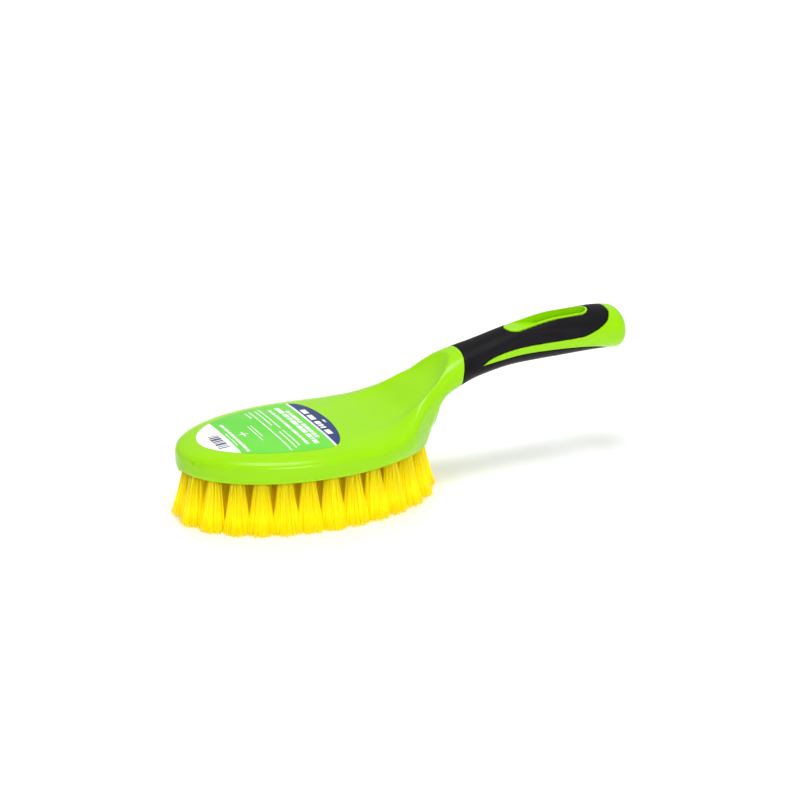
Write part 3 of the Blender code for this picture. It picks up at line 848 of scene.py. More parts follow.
    def outside(self, step: float, edge: float) -> bmesh.types.BMesh:
        """The outside of the body and the grip together, with a flat underside.

        Args:
            step: Distance between sections.
            edge: Radius of the underside's edge.

        Returns:
            The closed form.
        """
        bm = bmesh.new()
        start = Vector((self.toe, 0, self.level(0)))
        end = Vector((-self.toe, 0, self.level(self.length)))
        skin(bm, [self.section(x) for x in self.stations(step)], start, end)
        bmesh.ops.recalc_face_normals(bm, faces=bm.faces)
        cut = bmesh.ops.bisect_plane(
            bm,
            geom=bm.verts[:] + bm.edges[:] + bm.faces[:],
            dist=1e-7,
            plane_co=(0, 0, self.bristle_height),
            plane_no=(0, 0, -1),
            clear_outer=True,
        )
        rim = [item for item in cut["geom_cut"] if isinstance(item, bmesh.types.BMEdge)]
        bmesh.ops.edgeloop_fill(bm, edges=rim)
        if edge:
            bmesh.ops.bevel(bm, geom=rim, offset=edge, segments=2, profile=0.5, affect="EDGES")
        return bm

    def inside(self, inset: float, step: float) -> bmesh.types.BMesh:
        """A form this far below the surface of the handle, past both ends of the grip."""
        bm = bmesh.new()
        start, end = self.on_handle(self.core_start), self.on_handle(self.core_end)
        count = round((end - start) / step)
        skin(bm, [self.section(start + (end - start) * k / count, inset) for k in range(count + 1)])
        return bm

    def top_height(self, x: float, y: float) -> float:
        """Height of the head's top away from the scoop."""
        level = self.level(x)
        share = 1 - min(abs(y) / self.half_width(x), 1.0)
        return level + (self.top(x) - level) * self.toe_share(x) * float(rounded(share, self.upper_power(x)))


# ---- Body and grip -------------------------------------------------------------------------------
@dataclass(frozen=True)
class HangingSlot:
    """The stadium recess in the handle's top that ramps down to a through hole at its tail end."""

    length: float = 54.5 * MM
    width: float = 14.0 * MM
    end_from_tail: float = 22.5 * MM
    rim: float = 1.4 * MM
    ramp_depth: float = 12.0 * MM
    ramp_power: float = 3.4
    ramp_step: float = 2.0 * MM
    hole_length: float = 19.0 * MM
    seam: float = 0.3 * MM
    arc_points: int = 19

    def stadium(self, form: BrushForm, shrink: float, front: float = 0.0) -> list[tuple[float, float]]:
        """Outline of the recess or the hole.

        Args:
            form: The brush's form.
            shrink: How far the outline lies inside the grip's window.
            front: How far its front end is moved back.

        Returns:
            Points in plan.
        """
        end = form.length - self.end_from_tail - shrink
        start = form.length - self.end_from_tail - self.length + shrink + front
        radius = self.width / 2 - shrink
        points = []
        for centre, turn in ((end - radius, -math.pi / 2), (start + radius, math.pi / 2)):
            for k in range(self.arc_points + 1):
                angle = turn + math.pi * k / self.arc_points
                points.append((centre + radius * math.cos(angle) + form.toe, radius * math.sin(angle)))
        return points

    def prism(self, name: str, outline: Sequence, low: Callable, high: Callable) -> bpy.types.Object:
        """A block over a plan outline, between two heights that depend on X."""
        bm = bmesh.new()
        skin(bm, [[Vector((x, y, height(x))) for x, y in outline] for height in (low, high)])
        return new_object(name, bm)

    def windows(self, form: BrushForm, shrink: float) -> list[bpy.types.Object]:
        """What the grip leaves open: the window on top and the hole's mouth below."""
        middle = form.bristle_height + form.handle_rise
        above, below = middle + form.handle_depth, middle - form.handle_depth
        mouth = self.stadium(form, shrink, self.length - self.hole_length - 2 * self.rim)
        return [
            self.prism("window", self.stadium(form, shrink), lambda x: middle, lambda x: above),
            self.prism("mouth", mouth, lambda x: below, lambda x: middle - form.handle_depth / 8),
        ]

    def cutters(self, form: BrushForm) -> list[bpy.types.Object]:
        """The recess, whose floor slopes down from the surface, and the hole."""
        middle = form.bristle_height + form.handle_rise
        above, below = middle + form.handle_depth, middle - form.handle_depth
        end = form.length - self.end_from_tail - self.rim
        start = form.length - self.end_from_tail - self.length + self.rim
        hole_start = end - self.hole_length
        surface = form.top(start)
        fall = form.top(hole_start) - self.ramp_depth - surface

        def floor(x: float) -> float:
            """Height of the recess's floor."""
            share = (x - form.toe - start) / (hole_start - start)
            return surface + fall * max(share, 0.0) ** self.ramp_power

        front = hole_start - start
        ramp = self.stadium(form, self.rim)
        fine = []
        for k, point in enumerate(ramp):
            following = ramp[(k + 1) % len(ramp)]
            steps = max(1, round(abs(following[0] - point[0]) / self.ramp_step))
            for j in range(steps):
                t = j / steps
                fine.append((point[0] + (following[0] - point[0]) * t, point[1]))
        hole = self.stadium(form, self.rim + self.seam, front)
        return [
            self.ramp_block(fine, floor, above),
            self.prism("hole", hole, lambda x: below, lambda x: above),
        ]

    def ramp_block(self, outline: Sequence, floor: Callable, above: float) -> bpy.types.Object:
        """The recess's block: its curved floor is cut into strips across the handle."""
        bm = bmesh.new()
        low = [bm.verts.new((x, y, floor(x))) for x, y in outline]
        high = [bm.verts.new((x, y, above)) for x, y in outline]
        count = len(outline)
        for k in range(count):
            j = (k + 1) % count
            bm.faces.new((low[k], low[j], high[j], high[k]))
        bm.faces.new(high)
        bmesh.ops.triangulate(bm, faces=[bm.faces.new(list(reversed(low)))])
        return new_object("recess", bm)


@dataclass(frozen=True)
class SoftGrip:
    """The grip: a sleeve in front, a round-ended tongue on top and a strip below, round a green swoosh."""

    thickness: float = 2.2 * MM
    gap: float = 0.06 * MM
    voxel: float = 0.62 * MM
    front_edge: tuple = (
        *((0.15, -1.7), (0.14, -1.0), (0.133, -0.3)),
        *((0.137, 0.2), (0.147, 0.65), (0.157, 1.0), (0.165, 1.7)),
    )
    tongue_end: tuple = ((0.915, 1.7), (0.915, 1.0), (0.905, 0.8), (0.87, 0.5), (0.81, 0.22), (0.75, 0.04))
    swoosh_top: tuple = ((0.65, 0.01), (0.55, 0.05), (0.42, 0.14), (0.33, 0.15), (0.28, 0.09), (0.242, -0.04))
    swoosh_bottom: tuple = (
        *((0.345, -0.17), (0.45, -0.24), (0.59, -0.35)),
        *((0.73, -0.45), (0.80, -0.54), (0.86, -0.68)),
    )
    strip_end: tuple = ((0.93, -0.95), (0.95, -1.15), (0.95, -1.7))
    crease: tuple = (
        *((0.13, 0.42), (0.20, 0.34), (0.28, 0.36), (0.38, 0.50)),
        *((0.50, 0.56), (0.62, 0.44), (0.72, 0.34)),
    )
    crease_depth: float = 0.85 * MM
    crease_width: float = 1.5 * MM
    crease_fades: tuple[float, float] = (6.0 * MM, 12.0 * MM)  # at its front and rear ends

    def outline(self, form: BrushForm) -> list[tuple[float, float]]:
        """Side view of the grip's zone, anticlockwise, from the toe and from the ground."""
        back = smooth_path([form.on_side(*p) for p in self.tongue_end + self.swoosh_top], 5)
        lower = self.swoosh_top[-1:] + self.swoosh_bottom + self.strip_end
        strip = smooth_path([form.on_side(*p) for p in lower], 5)[1:]
        front = smooth_path([form.on_side(*p) for p in self.front_edge], 4)
        return (front + back + strip)[::-1]

    def zone(self, form: BrushForm, spread: float) -> bpy.types.Object:
        """A block across the handle that takes in the grip."""
        bm = bmesh.new()
        outline = offset_outline(self.outline(form), spread) if spread else self.outline(form)
        reach = form.handle_width
        skin(bm, [[Vector((x + form.toe, y, z)) for x, z in outline] for y in (-reach, reach)])
        return new_object("grip_zone", bm)

    def soften(self, obj: bpy.types.Object, form: BrushForm) -> None:
        """Rounds the grip's edges and presses a crease into each of its sides.

        Args:
            obj: The grip, cut to shape.
            form: The brush's form.
        """
        remesh = obj.modifiers.new("even_mesh", "REMESH")
        remesh.mode = "VOXEL"
        remesh.voxel_size = self.voxel
        smooth = obj.modifiers.new("soft_edges", "SMOOTH")
        smooth.factor = 0.5
        smooth.iterations = 3
        settle(obj)
        path = np.array(smooth_path([form.on_side(*p) for p in self.crease], 8))
        count = len(obj.data.vertices)
        places = np.empty(count * 3, dtype=np.float32)
        obj.data.vertices.foreach_get("co", places)
        places = places.reshape(-1, 3)
        side = places[:, [0, 2]].astype(float) - [form.toe, 0.0]
        nearest = np.full(count, 1.0)
        for a, b in zip(path, path[1:]):
            run = b - a
            t = np.clip(((side - a) @ run) / (run @ run), 0, 1)
            nearest = np.minimum(nearest, np.linalg.norm(side - a - t[:, None] * run, axis=1))
        press = self.crease_depth * np.exp(-((nearest / self.crease_width) ** 2))
        front_fade, rear_fade = self.crease_fades
        front = np.clip((side[:, 0] - path[0, 0]) / front_fade, 0, 1)
        rear = np.clip((path[-1, 0] - side[:, 0]) / rear_fade, 0, 1)
        places[:, 1] -= np.sign(places[:, 1]) * press * (front * rear)
        obj.data.vertices.foreach_set("co", places.reshape(-1))
        obj.data.update()

    def build(self, form: BrushForm, slot: HangingSlot, step: float, rubber: bpy.types.Material):
        """Builds the grip.

        Args:
            form: The brush's form.
            slot: The hanging slot it leaves open.
            step: Distance between sections.
            rubber: Its material.

        Returns:
            The finished grip.
        """
        grip = self.zone(form, -self.gap)
        grip.name = "soft_grip"
        outside = new_object("outside", form.outside(step, 0.0))
        core = new_object("core", form.inside(self.thickness, step))
        steps = [(outside, Cut.COMMON), (core, Cut.AWAY)]
        steps += [(window, Cut.AWAY) for window in slot.windows(form, 0.0)]
        carve(grip, steps)
        self.soften(grip, form)
        grip.data.materials.clear()
        grip.data.materials.append(rubber)
        grip.data.shade_smooth()
        return grip


@dataclass(frozen=True)
class MouldedBody:
    """The one-piece moulding: head, scooped neck and the handle's core."""

    step: float = 1.25 * MM
    edge: float = 0.5 * MM
    channel_gap: float = 0.25 * MM
    hole_diameter: float = 5.5 * MM
    hole_depth: float = 10.5 * MM
    hole_sides: int = 14
    gate_place: tuple[float, float, float] = (3.2 * MM, -14.2 * MM, 40.4 * MM)
    gate_radius: float = 1.2 * MM

    def tuft_holes(self, form: BrushForm, tufts: Sequence) -> bpy.types.Object:
        """One cutter with a blind hole for each tuft."""
        bm = bmesh.new()
        radius = self.hole_diameter / 2
        low, high = form.bristle_height - 2 * MM, form.bristle_height + self.hole_depth
        for point, _ in tufts:
            ring = [
                Vector((point.x + radius * math.cos(a), point.y + radius * math.sin(a), 0))
                for a in (2 * math.pi * (k + 0.5) / self.hole_sides for k in range(self.hole_sides))
            ]
            skin(bm, [[p + Vector((0, 0, z)) for p in ring] for z in (low, high)])
        return new_object("tuft_holes", bm)

    def gate_mark(self, form: BrushForm) -> bpy.types.Object:
        """The shallow dimple in the rim where the plastic entered the mould."""
        x, y, z = self.gate_place
        bm = bmesh.new()
        matrix = Matrix.Translation((x + form.toe, y, z))
        bmesh.ops.create_uvsphere(bm, u_segments=18, v_segments=11, radius=self.gate_radius, matrix=matrix)
        return new_object("gate", bm)

    def build(
        self, form: BrushForm, slot: HangingSlot, grip: SoftGrip, tufts: Sequence, plastic: bpy.types.Material
    ):
        """Builds the body.

        Args:
            form: The brush's form.
            slot: The hanging slot.
            grip: The grip, whose channel is cut.
            tufts: Place and outward angle of every tuft.
            plastic: Its material.

        Returns:
            The finished body.
        """
        channel = grip.zone(form, 0.0)
        core = new_object("core", form.inside(grip.thickness + self.channel_gap, self.step))
        carve(channel, [(core, Cut.AWAY)] + [(w, Cut.AWAY) for w in slot.windows(form, self.channel_gap)])
        body = new_object("moulded_body", form.outside(self.step, self.edge), plastic)
        steps = [(channel, Cut.AWAY)]
        steps += [(cutter, Cut.AWAY) for cutter in slot.cutters(form)]
        steps.append((self.tuft_holes(form, tufts), Cut.AWAY))
        steps.append((self.gate_mark(form), Cut.AWAY))
        carve(body, steps)
        shade(body)
        return body


# ---- Label ---------------------------------------------------------------------------------------
@dataclass(frozen=True)
class FilmLabel:
    """The egg-shaped film on top of the head, wider towards the handle."""

    start: float = 12.5 * MM
    widest: float = 75.5 * MM
    end: float = 93.0 * MM
    width: float = 73.0 * MM
    lift: float = 0.05 * MM
    thickness: float = 0.12 * MM
    end_power: float = 3.5
    end_root: float = 0.6
    toe_rows: int = 60
    tail_rows: int = 26
    columns: int = 40

    def half_width(self, x: float) -> float:
        """Half width of the label at a distance from the toe."""
        if x < self.widest:
            share = (self.widest - x) / (self.widest - self.start)
            return self.width / 2 * math.sqrt(1 - share * share)
        share = (x - self.widest) / (self.end - self.widest)
        return self.width / 2 * (1 - share**self.end_power) ** self.end_root

    def build(self, form: BrushForm, film: bpy.types.Material):
        """Builds the label on the head's top.

        Args:
            form: The brush's form.
            film: Its material.

        Returns:
            The finished label.
        """
        quarter = math.pi / 2
        ahead, behind = self.widest - self.start, self.end - self.widest
        places = []
        for k in range(1, self.toe_rows):
            places.append(self.widest - ahead * math.cos(quarter * k / self.toe_rows))
        for k in range(self.tail_rows):
            places.append(self.widest + behind * math.sin(quarter * k / self.tail_rows))
        bm = bmesh.new()
        borders = []
        for lift in (self.lift, self.lift + self.thickness):
            grid = []
            for x in places:
                half = self.half_width(x)
                ys = [half * j / self.columns for j in range(-self.columns, self.columns + 1)]
                grid.append([bm.verts.new((x + form.toe, y, form.top_height(x, y) + lift)) for y in ys])
            ends = [
                bm.verts.new((x + form.toe, 0, form.top_height(x, 0) + lift)) for x in (self.start, self.end)
            ]
            for near, far in zip(grid, grid[1:]):
                for j in range(2 * self.columns):
                    bm.faces.new((near[j], near[j + 1], far[j + 1], far[j]))
            for end, line in zip(ends, (grid[0], grid[-1])):
                for j in range(2 * self.columns):
                    bm.faces.new((end, line[j], line[j + 1]))
            right = [line[-1] for line in reversed(grid)]
            borders.append([ends[0]] + [line[0] for line in grid] + [ends[1]] + right)
        for k in range(len(borders[0])):
            j = (k + 1) % len(borders[0])
            bm.faces.new((borders[0][k], borders[0][j], borders[1][j], borders[1][k]))
        label = new_object("printed_label", bm, film)
        shade(label, 60)
        return label


# ---- Bristles ------------------------------------------------------------------------------------
class TuftRow(Enum):
    """Rows of tufts, from the rim to the middle: number of tufts in each."""

    OUTER = 26
    SECOND = 20
    THIRD = 14
    CENTRE = 4


@dataclass(frozen=True)
class TuftLayout:
    """Where the tufts stand on the underside."""

    rim_inset: float = 8.0 * MM
    centre_rows: float = 3.5  # how many row pitches the ends of the centre row lie inside the outer ring
    outline_points: int = 240

    def pitch(self, form: BrushForm) -> float:
        """Distance between two rows."""
        return (form.head_width / 2 - self.rim_inset) / 3

    def ring(self, form: BrushForm, inset: float) -> list[Vector]:
        """Points round the underside, this far inside its outline."""
        points = []
        for k in range(self.outline_points):
            angle = 2 * math.pi * (k + 0.5) / self.outline_points
            front = form.widest_from_toe
            reach = front if math.cos(angle) > 0 else form.head_length - front
            x = front - (reach - inset) * math.cos(angle)
            points.append(Vector((x + form.toe, (form.head_width / 2 - inset) * math.sin(angle))))
        return points

    def places(self, form: BrushForm, row: TuftRow) -> list[tuple[Vector, float]]:
        """Place and outward angle of each tuft in a row.

        Args:
            form: The brush's form.
            row: Which row.

        Returns:
            A point in plan and an angle for each tuft.
        """
        pitch = self.pitch(form)
        if row is TuftRow.CENTRE:
            inset = self.rim_inset + self.centre_rows * pitch
            run = form.head_length - 2 * inset
            shares = [k / (row.value - 1) for k in range(row.value)]
            return [(Vector((form.toe + inset + run * share, 0)), 0.0) for share in shares]
        depth = (TuftRow.OUTER, TuftRow.SECOND, TuftRow.THIRD).index(row)
        outline = self.ring(form, self.rim_inset + pitch * depth)
        lengths = [0.0]
        for k, point in enumerate(outline):
            lengths.append(lengths[-1] + (outline[(k + 1) % len(outline)] - point).length)
        found = []
        k = 0
        for n in range(row.value):
            want = lengths[-1] * (n + 0.5) / row.value
            while lengths[k + 1] < want:
                k += 1
            along = outline[(k + 1) % len(outline)] - outline[k]
            share = (want - lengths[k]) / (lengths[k + 1] - lengths[k])
            found.append((outline[k] + along * share, math.atan2(-along.x, along.y) + math.pi))
        return found


@dataclass(frozen=True)
class BristleField:
    """Filaments of one or more rows of tufts, grown from their holes by geometry nodes."""

    name: str
    filaments: int
    lean: float
    tip_across: float
    tip_along: float
    seed: int
    hole_radius: float = 2.45 * MM
    root_depth: float = 4.0 * MM
    diameter: float = 0.45 * MM
    uneven: float = 0.05  # how much shorter than the longest a filament may be, as a share
    wander: float = 0.9 * MM
    splay: float = 0.24  # share of the flare that a tuft gains just below its hole
    splay_end: float = 0.15  # share of the height over which it gains that
    bow_power: float = 2.0
    lean_power: float = 1.3
    sides: int = 3
    segments: int = 4

    def inputs(self, height: float) -> dict[str, tuple[str, float | int]]:
        """Names, kinds and values of the tree's inputs."""
        return {
            "Filaments": ("NodeSocketInt", self.filaments),
            "Hole Radius": ("NodeSocketFloat", self.hole_radius),
            "Root Depth": ("NodeSocketFloat", self.root_depth),
            "Height": ("NodeSocketFloat", height),
            "Lean": ("NodeSocketFloat", self.lean),
            "Tip Across": ("NodeSocketFloat", self.tip_across),
            "Tip Along": ("NodeSocketFloat", self.tip_along),
            "Radius": ("NodeSocketFloat", self.diameter / 2),
            "Uneven": ("NodeSocketFloat", self.uneven),
            "Wander": ("NodeSocketFloat", self.wander),
            "Seed": ("NodeSocketInt", self.seed),
        }

    def tree(self, height: float, material: bpy.types.Material) -> bpy.types.NodeTree:
        """Builds the geometry node tree.

        Args:
            height: Mouth of the holes above the tips.
            material: Material of the filaments.

        Returns:
            The tree.
        """
        tree = bpy.data.node_groups.new(f"{self.name}_tree", "GeometryNodeTree")
        tree.interface.new_socket("Geometry", in_out="INPUT", socket_type="NodeSocketGeometry")
        tree.interface.new_socket("Geometry", in_out="OUTPUT", socket_type="NodeSocketGeometry")
        for name, (kind, _) in self.inputs(height).items():
            tree.interface.new_socket(name, in_out="INPUT", socket_type=kind)
        given = add_node(tree, "NodeGroupInput").outputs

        place = add_node(tree, "GeometryNodeInputPosition").outputs[0]
        values = {name: given[name] for name in self.inputs(height)}
        draws = {
            "disc share": (0.0, 1.0),
            "disc angle": (0.0, 2 * math.pi),
            "bend x": (-1.0, 1.0),
            "bend y": (-1.0, 1.0),
            "shade": (0.0, 1.0),
            "missing share": (0.0, 1.0),
        }
        for number, (name, (low, high)) in enumerate(draws.items(), start=1):
            seed = add_node(
                tree, "ShaderNodeMath", {"operation": "ADD"}, {0: given["Seed"], 1: float(number)}
            )
            drawn = add_node(
                tree,
                "FunctionNodeRandomValue",
                {"data_type": "FLOAT"},
                {2: low, 3: high, "Seed": seed.outputs[0]},
            )
            values[name] = drawn.outputs[1]
        for name in ("root", "disc", "bend", "thick", "along", "length", "outward"):
            kind = "FLOAT_VECTOR" if name in ("root", "disc", "bend", "thick") else "FLOAT"
            stored = add_node(
                tree, "GeometryNodeInputNamedAttribute", {"data_type": kind}, {"Name": name}
            )
            values[f"stored {name}"] = stored.outputs[0]
        for name, vector in (
            ("own", place),
            ("where", values["stored disc"]),
            ("drift", values["stored bend"]),
        ):
            parts = add_node(tree, "ShaderNodeSeparateXYZ", links={0: vector}).outputs
            values.update({f"{name} x": parts["X"], f"{name} y": parts["Y"], f"{name} z": parts["Z"]})

        formulas = [
            ("disc radius", "SQRT", "disc share"),
            ("disc cosine", "COSINE", "disc angle"),
            ("disc sine", "SINE", "disc angle"),
            ("disc x", "MULTIPLY", "disc radius", "disc cosine"),
            ("disc y", "MULTIPLY", "disc radius", "disc sine"),
            ("missing", "MULTIPLY", "missing share", "Uneven"),
            ("length", "SUBTRACT", 1.0, "missing"),
            ("along", "ADD", "own z", 0.5),
            ("full", "ADD", "Root Depth", "Height"),
            ("run", "MULTIPLY", "stored along", "full"),
            ("below", "SUBTRACT", "run", "Root Depth"),
            ("height share", "DIVIDE", "below", "Height"),
            ("share", "MAXIMUM", "height share", 0.0),
            ("splay share", "DIVIDE", "share", self.splay_end),
            ("splay", "MINIMUM", "splay share", 1.0),
            ("early flare", "MULTIPLY", "splay", self.splay),
            ("flare", "MULTIPLY_ADD", "share", 1 - self.splay, "early flare"),
            ("bow share", "POWER", "share", self.bow_power),
            ("bow", "MULTIPLY", "bow share", "Wander"),
        ]
        for axis, tip in (("x", "Tip Across"), ("y", "Tip Along")):
            formulas += [
                (f"growth {axis}", "SUBTRACT", tip, "Hole Radius"),
                (f"spread {axis}", "MULTIPLY_ADD", f"growth {axis}", "flare", "Hole Radius"),
                (f"bowed {axis}", "MULTIPLY", f"drift {axis}", "bow"),
                (f"offset {axis}", "MULTIPLY_ADD", f"where {axis}", f"spread {axis}", f"bowed {axis}"),
            ]
        formulas += [
            ("lean share", "POWER", "share", self.lean_power),
            ("leaning", "MULTIPLY", "Lean", "lean share"),
            ("out", "ADD", "offset x", "leaning"),
            ("cosine", "COSINE", "stored outward"),
            ("sine", "SINE", "stored outward"),
            ("out along x", "MULTIPLY", "out", "cosine"),
            ("side along x", "MULTIPLY", "offset y", "sine"),
            ("x", "SUBTRACT", "out along x", "side along x"),
            ("out along y", "MULTIPLY", "out", "sine"),
            ("side along y", "MULTIPLY", "offset y", "cosine"),
            ("y", "ADD", "out along y", "side along y"),
            ("drop", "MULTIPLY", "below", "stored length"),
            ("z", "MULTIPLY", "drop", -1.0),
        ]
        for name, operation, *terms in formulas:
            links = {k: values[term] if isinstance(term, str) else term for k, term in enumerate(terms)}
            values[name] = add_node(tree, "ShaderNodeMath", {"operation": operation}, links).outputs[0]
        for name, parts in (
            ("disc", ("disc x", "disc y")),
            ("bend", ("bend x", "bend y")),
            ("thick", ("own x", "own y")),
            ("moved", ("x", "y", "z")),
        ):
            links = {k: values[part] for k, part in enumerate(parts)}
            values[name] = add_node(tree, "ShaderNodeCombineXYZ", links=links).outputs[0]
        values["root"] = place

        points = add_node(
            tree,
            "GeometryNodeDuplicateElements",
            {"domain": "POINT"},
            {"Geometry": given["Geometry"], "Amount": given["Filaments"]},
        ).outputs[0]
        filament = add_node(
            tree,
            "GeometryNodeMeshCylinder",
            links={
                "Vertices": self.sides,
                "Side Segments": self.segments,
                "Radius": given["Radius"],
                "Depth": 1.0,
            },
        ).outputs["Mesh"]
        carried = {"points": points, "filament": filament}
        for carrier, name, kind in (
            ("points", "root", "FLOAT_VECTOR"),
            ("points", "disc", "FLOAT_VECTOR"),
            ("points", "bend", "FLOAT_VECTOR"),
            ("points", "shade", "FLOAT"),
            ("points", "length", "FLOAT"),
            ("filament", "along", "FLOAT"),
            ("filament", "thick", "FLOAT_VECTOR"),
        ):
            carried[carrier] = add_node(
                tree,
                "GeometryNodeStoreNamedAttribute",
                {"data_type": kind, "domain": "POINT"},
                {"Geometry": carried[carrier], "Name": name, "Value": values[name]},
            ).outputs[0]

        grown = add_node(
            tree,
            "GeometryNodeInstanceOnPoints",
            links={"Points": carried["points"], "Instance": carried["filament"]},
        ).outputs[0]
        grown = add_node(tree, "GeometryNodeRealizeInstances", links={"Geometry": grown}).outputs[0]
        moved = values["moved"]
        for name in ("stored root", "stored thick"):
            moved = add_node(
                tree, "ShaderNodeVectorMath", {"operation": "ADD"}, {0: moved, 1: values[name]}
            ).outputs[0]
        grown = add_node(
            tree, "GeometryNodeSetPosition", links={"Geometry": grown, "Position": moved}
        ).outputs[0]
        grown = add_node(tree, "GeometryNodeFlipFaces", links={"Mesh": grown}).outputs[0]
        for name in ("root", "disc", "bend", "length", "thick", "outward"):
            grown = add_node(
                tree, "GeometryNodeRemoveAttribute", links={"Geometry": grown, "Name": name}
            ).outputs[0]
        grown = add_node(
            tree, "GeometryNodeSetMaterial", links={"Geometry": grown, "Material": material}
        ).outputs[0]
        add_node(tree, "NodeGroupOutput", links={0: grown})
        return tree

    def build(self, form: BrushForm, tufts: Sequence, material: bpy.types.Material):
        """Grows the filaments.

        Args:
            form: The brush's form.
            tufts: Place and outward angle of each tuft.
            material: Their material.

        Returns:
            The finished bristles, a plain mesh.
        """
        mesh = bpy.data.meshes.new(self.name)
        mesh.from_pydata([(point.x, point.y, form.bristle_height) for point, _ in tufts], [], [])
        outward = mesh.attributes.new("outward", "FLOAT", "POINT")
        outward.data.foreach_set("value", [angle for _, angle in tufts])
        bristles = bpy.data.objects.new(self.name, mesh)
        bpy.context.scene.collection.objects.link(bristles)
        modifier = bristles.modifiers.new("filaments", "NODES")
        modifier.node_group = self.tree(form.bristle_height, material)
        values = self.inputs(form.bristle_height)
        for item in modifier.node_group.interface.items_tree:
            if item.item_type == "SOCKET" and item.in_out == "INPUT" and item.name in values:
                modifier[item.identifier] = values[item.name][1]
        settle(bristles)
        bristles.data.shade_smooth()
        return bristles


# ---- Studio --------------------------------------------------------------------------------------
@dataclass(frozen=True)
class SoftLight:
    """A square area light."""

    name: str
    place: tuple[float, float, float]
    size: float
    power: float
    aim: tuple[float, float, float] = (0.0, 0.0, 0.05)
    mirrored: bool = True  # whether glossy surfaces show it

    def build(self) -> None:
        """Hangs the light and turns it to what it looks at."""
        light = bpy.data.lights.new(self.name, "AREA")
        light.size = self.size
        light.energy = self.power
        obj = bpy.data.objects.new(self.name, light)
        obj.location = self.place
        obj.visible_glossy = self.mirrored
        obj.rotation_euler = (Vector(self.aim) - obj.location).to_track_quat("-Z", "Y").to_euler()
        bpy.context.scene.collection.objects.link(obj)


@dataclass(frozen=True)
class Studio:
    """White paper, soft light and the camera."""

    target: tuple[float, float, float] = (-0.0020, 0.0022, 0.0512)
    distance: float = 1.6463
    azimuth: float = -24.04
    elevation: float = 21.5
    lens: float = 126.0
    floor_half: float = 9.0
    sky: float = 0.50
    lights: tuple[SoftLight, ...] = (
        SoftLight("overhead_softbox", (-0.1, -0.15, 1.5), 0.6, 11.0),
        SoftLight("front_softbox", (-0.2, -2.0, 0.9), 0.7, 18.0),
        SoftLight("background_wash", (1.1, 2.6, 2.0), 2.4, 60.0, (1.1, 2.6, 0.0), False),
    )

    def build(self) -> None:
        """Lays the paper, hangs the lights and sets the camera."""
        target = Vector(self.target)
        half = self.floor_half
        bm = bmesh.new()
        corners = [(-half, -half, 0), (half, -half, 0), (half, half, 0), (-half, half, 0)]
        bm.faces.new([bm.verts.new(corner) for corner in corners])
        paper = new_object("studio_paper", bm, StudioPaper().build())
        for light in self.lights:
            light.build()
        world = bpy.data.worlds.new("white_studio")
        world.use_nodes = True
        background = world.node_tree.nodes["Background"]
        background.inputs["Color"].default_value = (1, 1, 1, 1)
        background.inputs["Strength"].default_value = self.sky
        bpy.context.scene.world = world
        camera = bpy.data.cameras.new("camera")
        camera.lens = self.lens
        camera.sensor_width = 36.0
        camera.dof.use_dof = False
        turn, lift = math.radians(self.azimuth), math.radians(self.elevation)
        ahead = Vector((-math.sin(turn) * math.cos(lift), math.cos(turn) * math.cos(lift), -math.sin(lift)))
        obj = bpy.data.objects.new("camera", camera)
        obj.location = target - ahead * self.distance
        obj.rotation_euler = ahead.to_track_quat("-Z", "Y").to_euler()
        bpy.context.scene.collection.objects.link(obj)
        bpy.context.scene.camera = obj
        bpy.context.scene.view_settings.view_transform = "Standard"


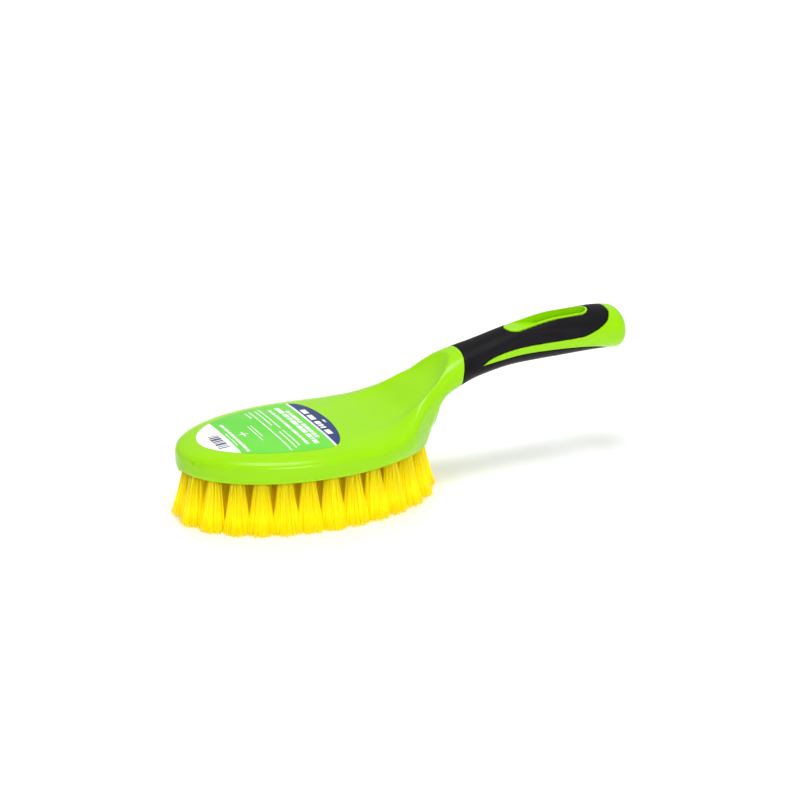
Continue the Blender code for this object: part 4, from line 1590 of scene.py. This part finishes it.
# ---- The whole brush -----------------------------------------------------------------------------
def label_print() -> tuple[PrintedPatch, ...]:
    """The label's generic print: bands, plain bars and lines of strokes, with no lettering."""
    wide = 50.0
    patches = [
        PrintedPatch(0.0, 28.6, -wide, wide, Ink.WHITE),
        PrintedPatch(82.6, 100.0, -wide, wide, Ink.NAVY),
        PrintedPatch(81.2, 82.6, -wide, wide, Ink.WHITE),
        PrintedPatch(83.9, 87.2, -20.0, 21.0, Ink.WHITE, 0.28),
        PrintedPatch(89.4, 90.6, -3.0, 2.5, Ink.WHITE, 1.1),
        PrintedPatch(38.9, 39.7, -5.2, 1.8, Ink.WHITE),
        PrintedPatch(36.4, 42.2, -2.1, -1.3, Ink.WHITE),
    ]
    lines = (
        (76.6, 2.4, -22.0, 23.0, 0.45),
        (73.0, 2.8, -29.5, 31.0, 0.42),
        (67.6, 1.9, -29.0, 28.5, 0.6),
        (62.4, 0.9, -29.0, -5.0, 1.2),
        (62.3, 0.9, -1.7, 32.0, 1.2),
        (59.6, 0.9, -31.0, -6.0, 1.2),
        (59.4, 0.9, 4.6, 30.0, 1.2),
        (55.8, 0.9, -33.0, 30.0, 1.2),
        (52.9, 1.1, 19.6, 29.0, 0.9),
        (48.1, 0.7, -9.0, 9.0, 1.4),
        (45.9, 0.7, -15.0, 8.0, 1.4),
        (33.0, 1.7, -25.0, 17.5, 0.6),
        (30.3, 0.6, -15.0, 3.5, 1.4),
    )
    for middle, width, left, right, words in lines:
        patches.append(PrintedPatch(middle - width / 2, middle + width / 2, left, right, Ink.WHITE, words))
    bars = (
        *((-14.8, 1.2), (-12.4, 1.0), (-10.2, 2.4), (-6.9, 0.8)),
        *((-5.3, 1.6), (-2.9, 2.6), (0.4, 1.6), (2.9, 0.9)),
    )
    for left, width in bars:
        patches.append(PrintedPatch(19.4, 25.8, left, left + width, Ink.SLATE))
    return tuple(patches)


def main() -> None:
    """Builds the brush piece by piece, then the studio."""
    logging.basicConfig(level=logging.INFO, format="%(name)s %(message)s")
    form = BrushForm()
    slot = HangingSlot()
    grip = SoftGrip()
    shell = MouldedBody()
    layout = TuftLayout()
    rows = {row: layout.places(form, row) for row in TuftRow}
    yellow = BristleFilament().build()
    # Painted shade: the second and middle rows take a darker copy of the filament with a weaker glow, for the
    # shade inside the outer ring.
    inner_rows_with_painted_shade = BristleFilament("yellow_polyester_filament_painted_shade", "#F8EA00", "#E4C800", glow=0.12).build()

    every_tuft = [tuft for row in rows.values() for tuft in row]
    body = shell.build(form, slot, grip, every_tuft, MouldedPolypropylene().build())
    hand_over(body, ["body"])
    hand_over(grip.build(form, slot, shell.step, SoftRubber().build()), ["grip"])
    film = LabelFilm(label_print()).build(form.toe)
    hand_over(FilmLabel().build(form, film), ["label"])

    pitch = layout.pitch(form)
    fields = (
        (BristleField("bristles_outer_ring", 285, 4.2 * MM, 6.2 * MM, 8.0 * MM, 11), (TuftRow.OUTER,)),
        (BristleField("bristles_second_row", 240, 0.6 * MM, pitch / 2, pitch / 2, 23), (TuftRow.SECOND,)),
        (
            BristleField("bristles_middle_rows", 220, 0.0, pitch / 2, pitch / 2, 37),
            (TuftRow.THIRD, TuftRow.CENTRE),
        ),
    )
    stands_for = (
        [f"tuft_{n:02}" for n in range(1, TuftRow.OUTER.value + 1)],
        ["tufts_second_row"],
        ["tufts_third_row", "tufts_centre_row"],
    )
    for (bristles, which), nodes, finish in zip(fields, stands_for, (yellow, inner_rows_with_painted_shade, inner_rows_with_painted_shade)):
        tufts = [tuft for row in which for tuft in rows[row]]
        hand_over(bristles.build(form, tufts, finish), nodes)

    steel = PlatedSteel().build()
    for name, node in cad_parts.items():
        if name.startswith("anchor_"):
            for material_slot in node.material_slots:
                material_slot.material = steel

    Studio().build()


if __name__ == "__main__":
    main()
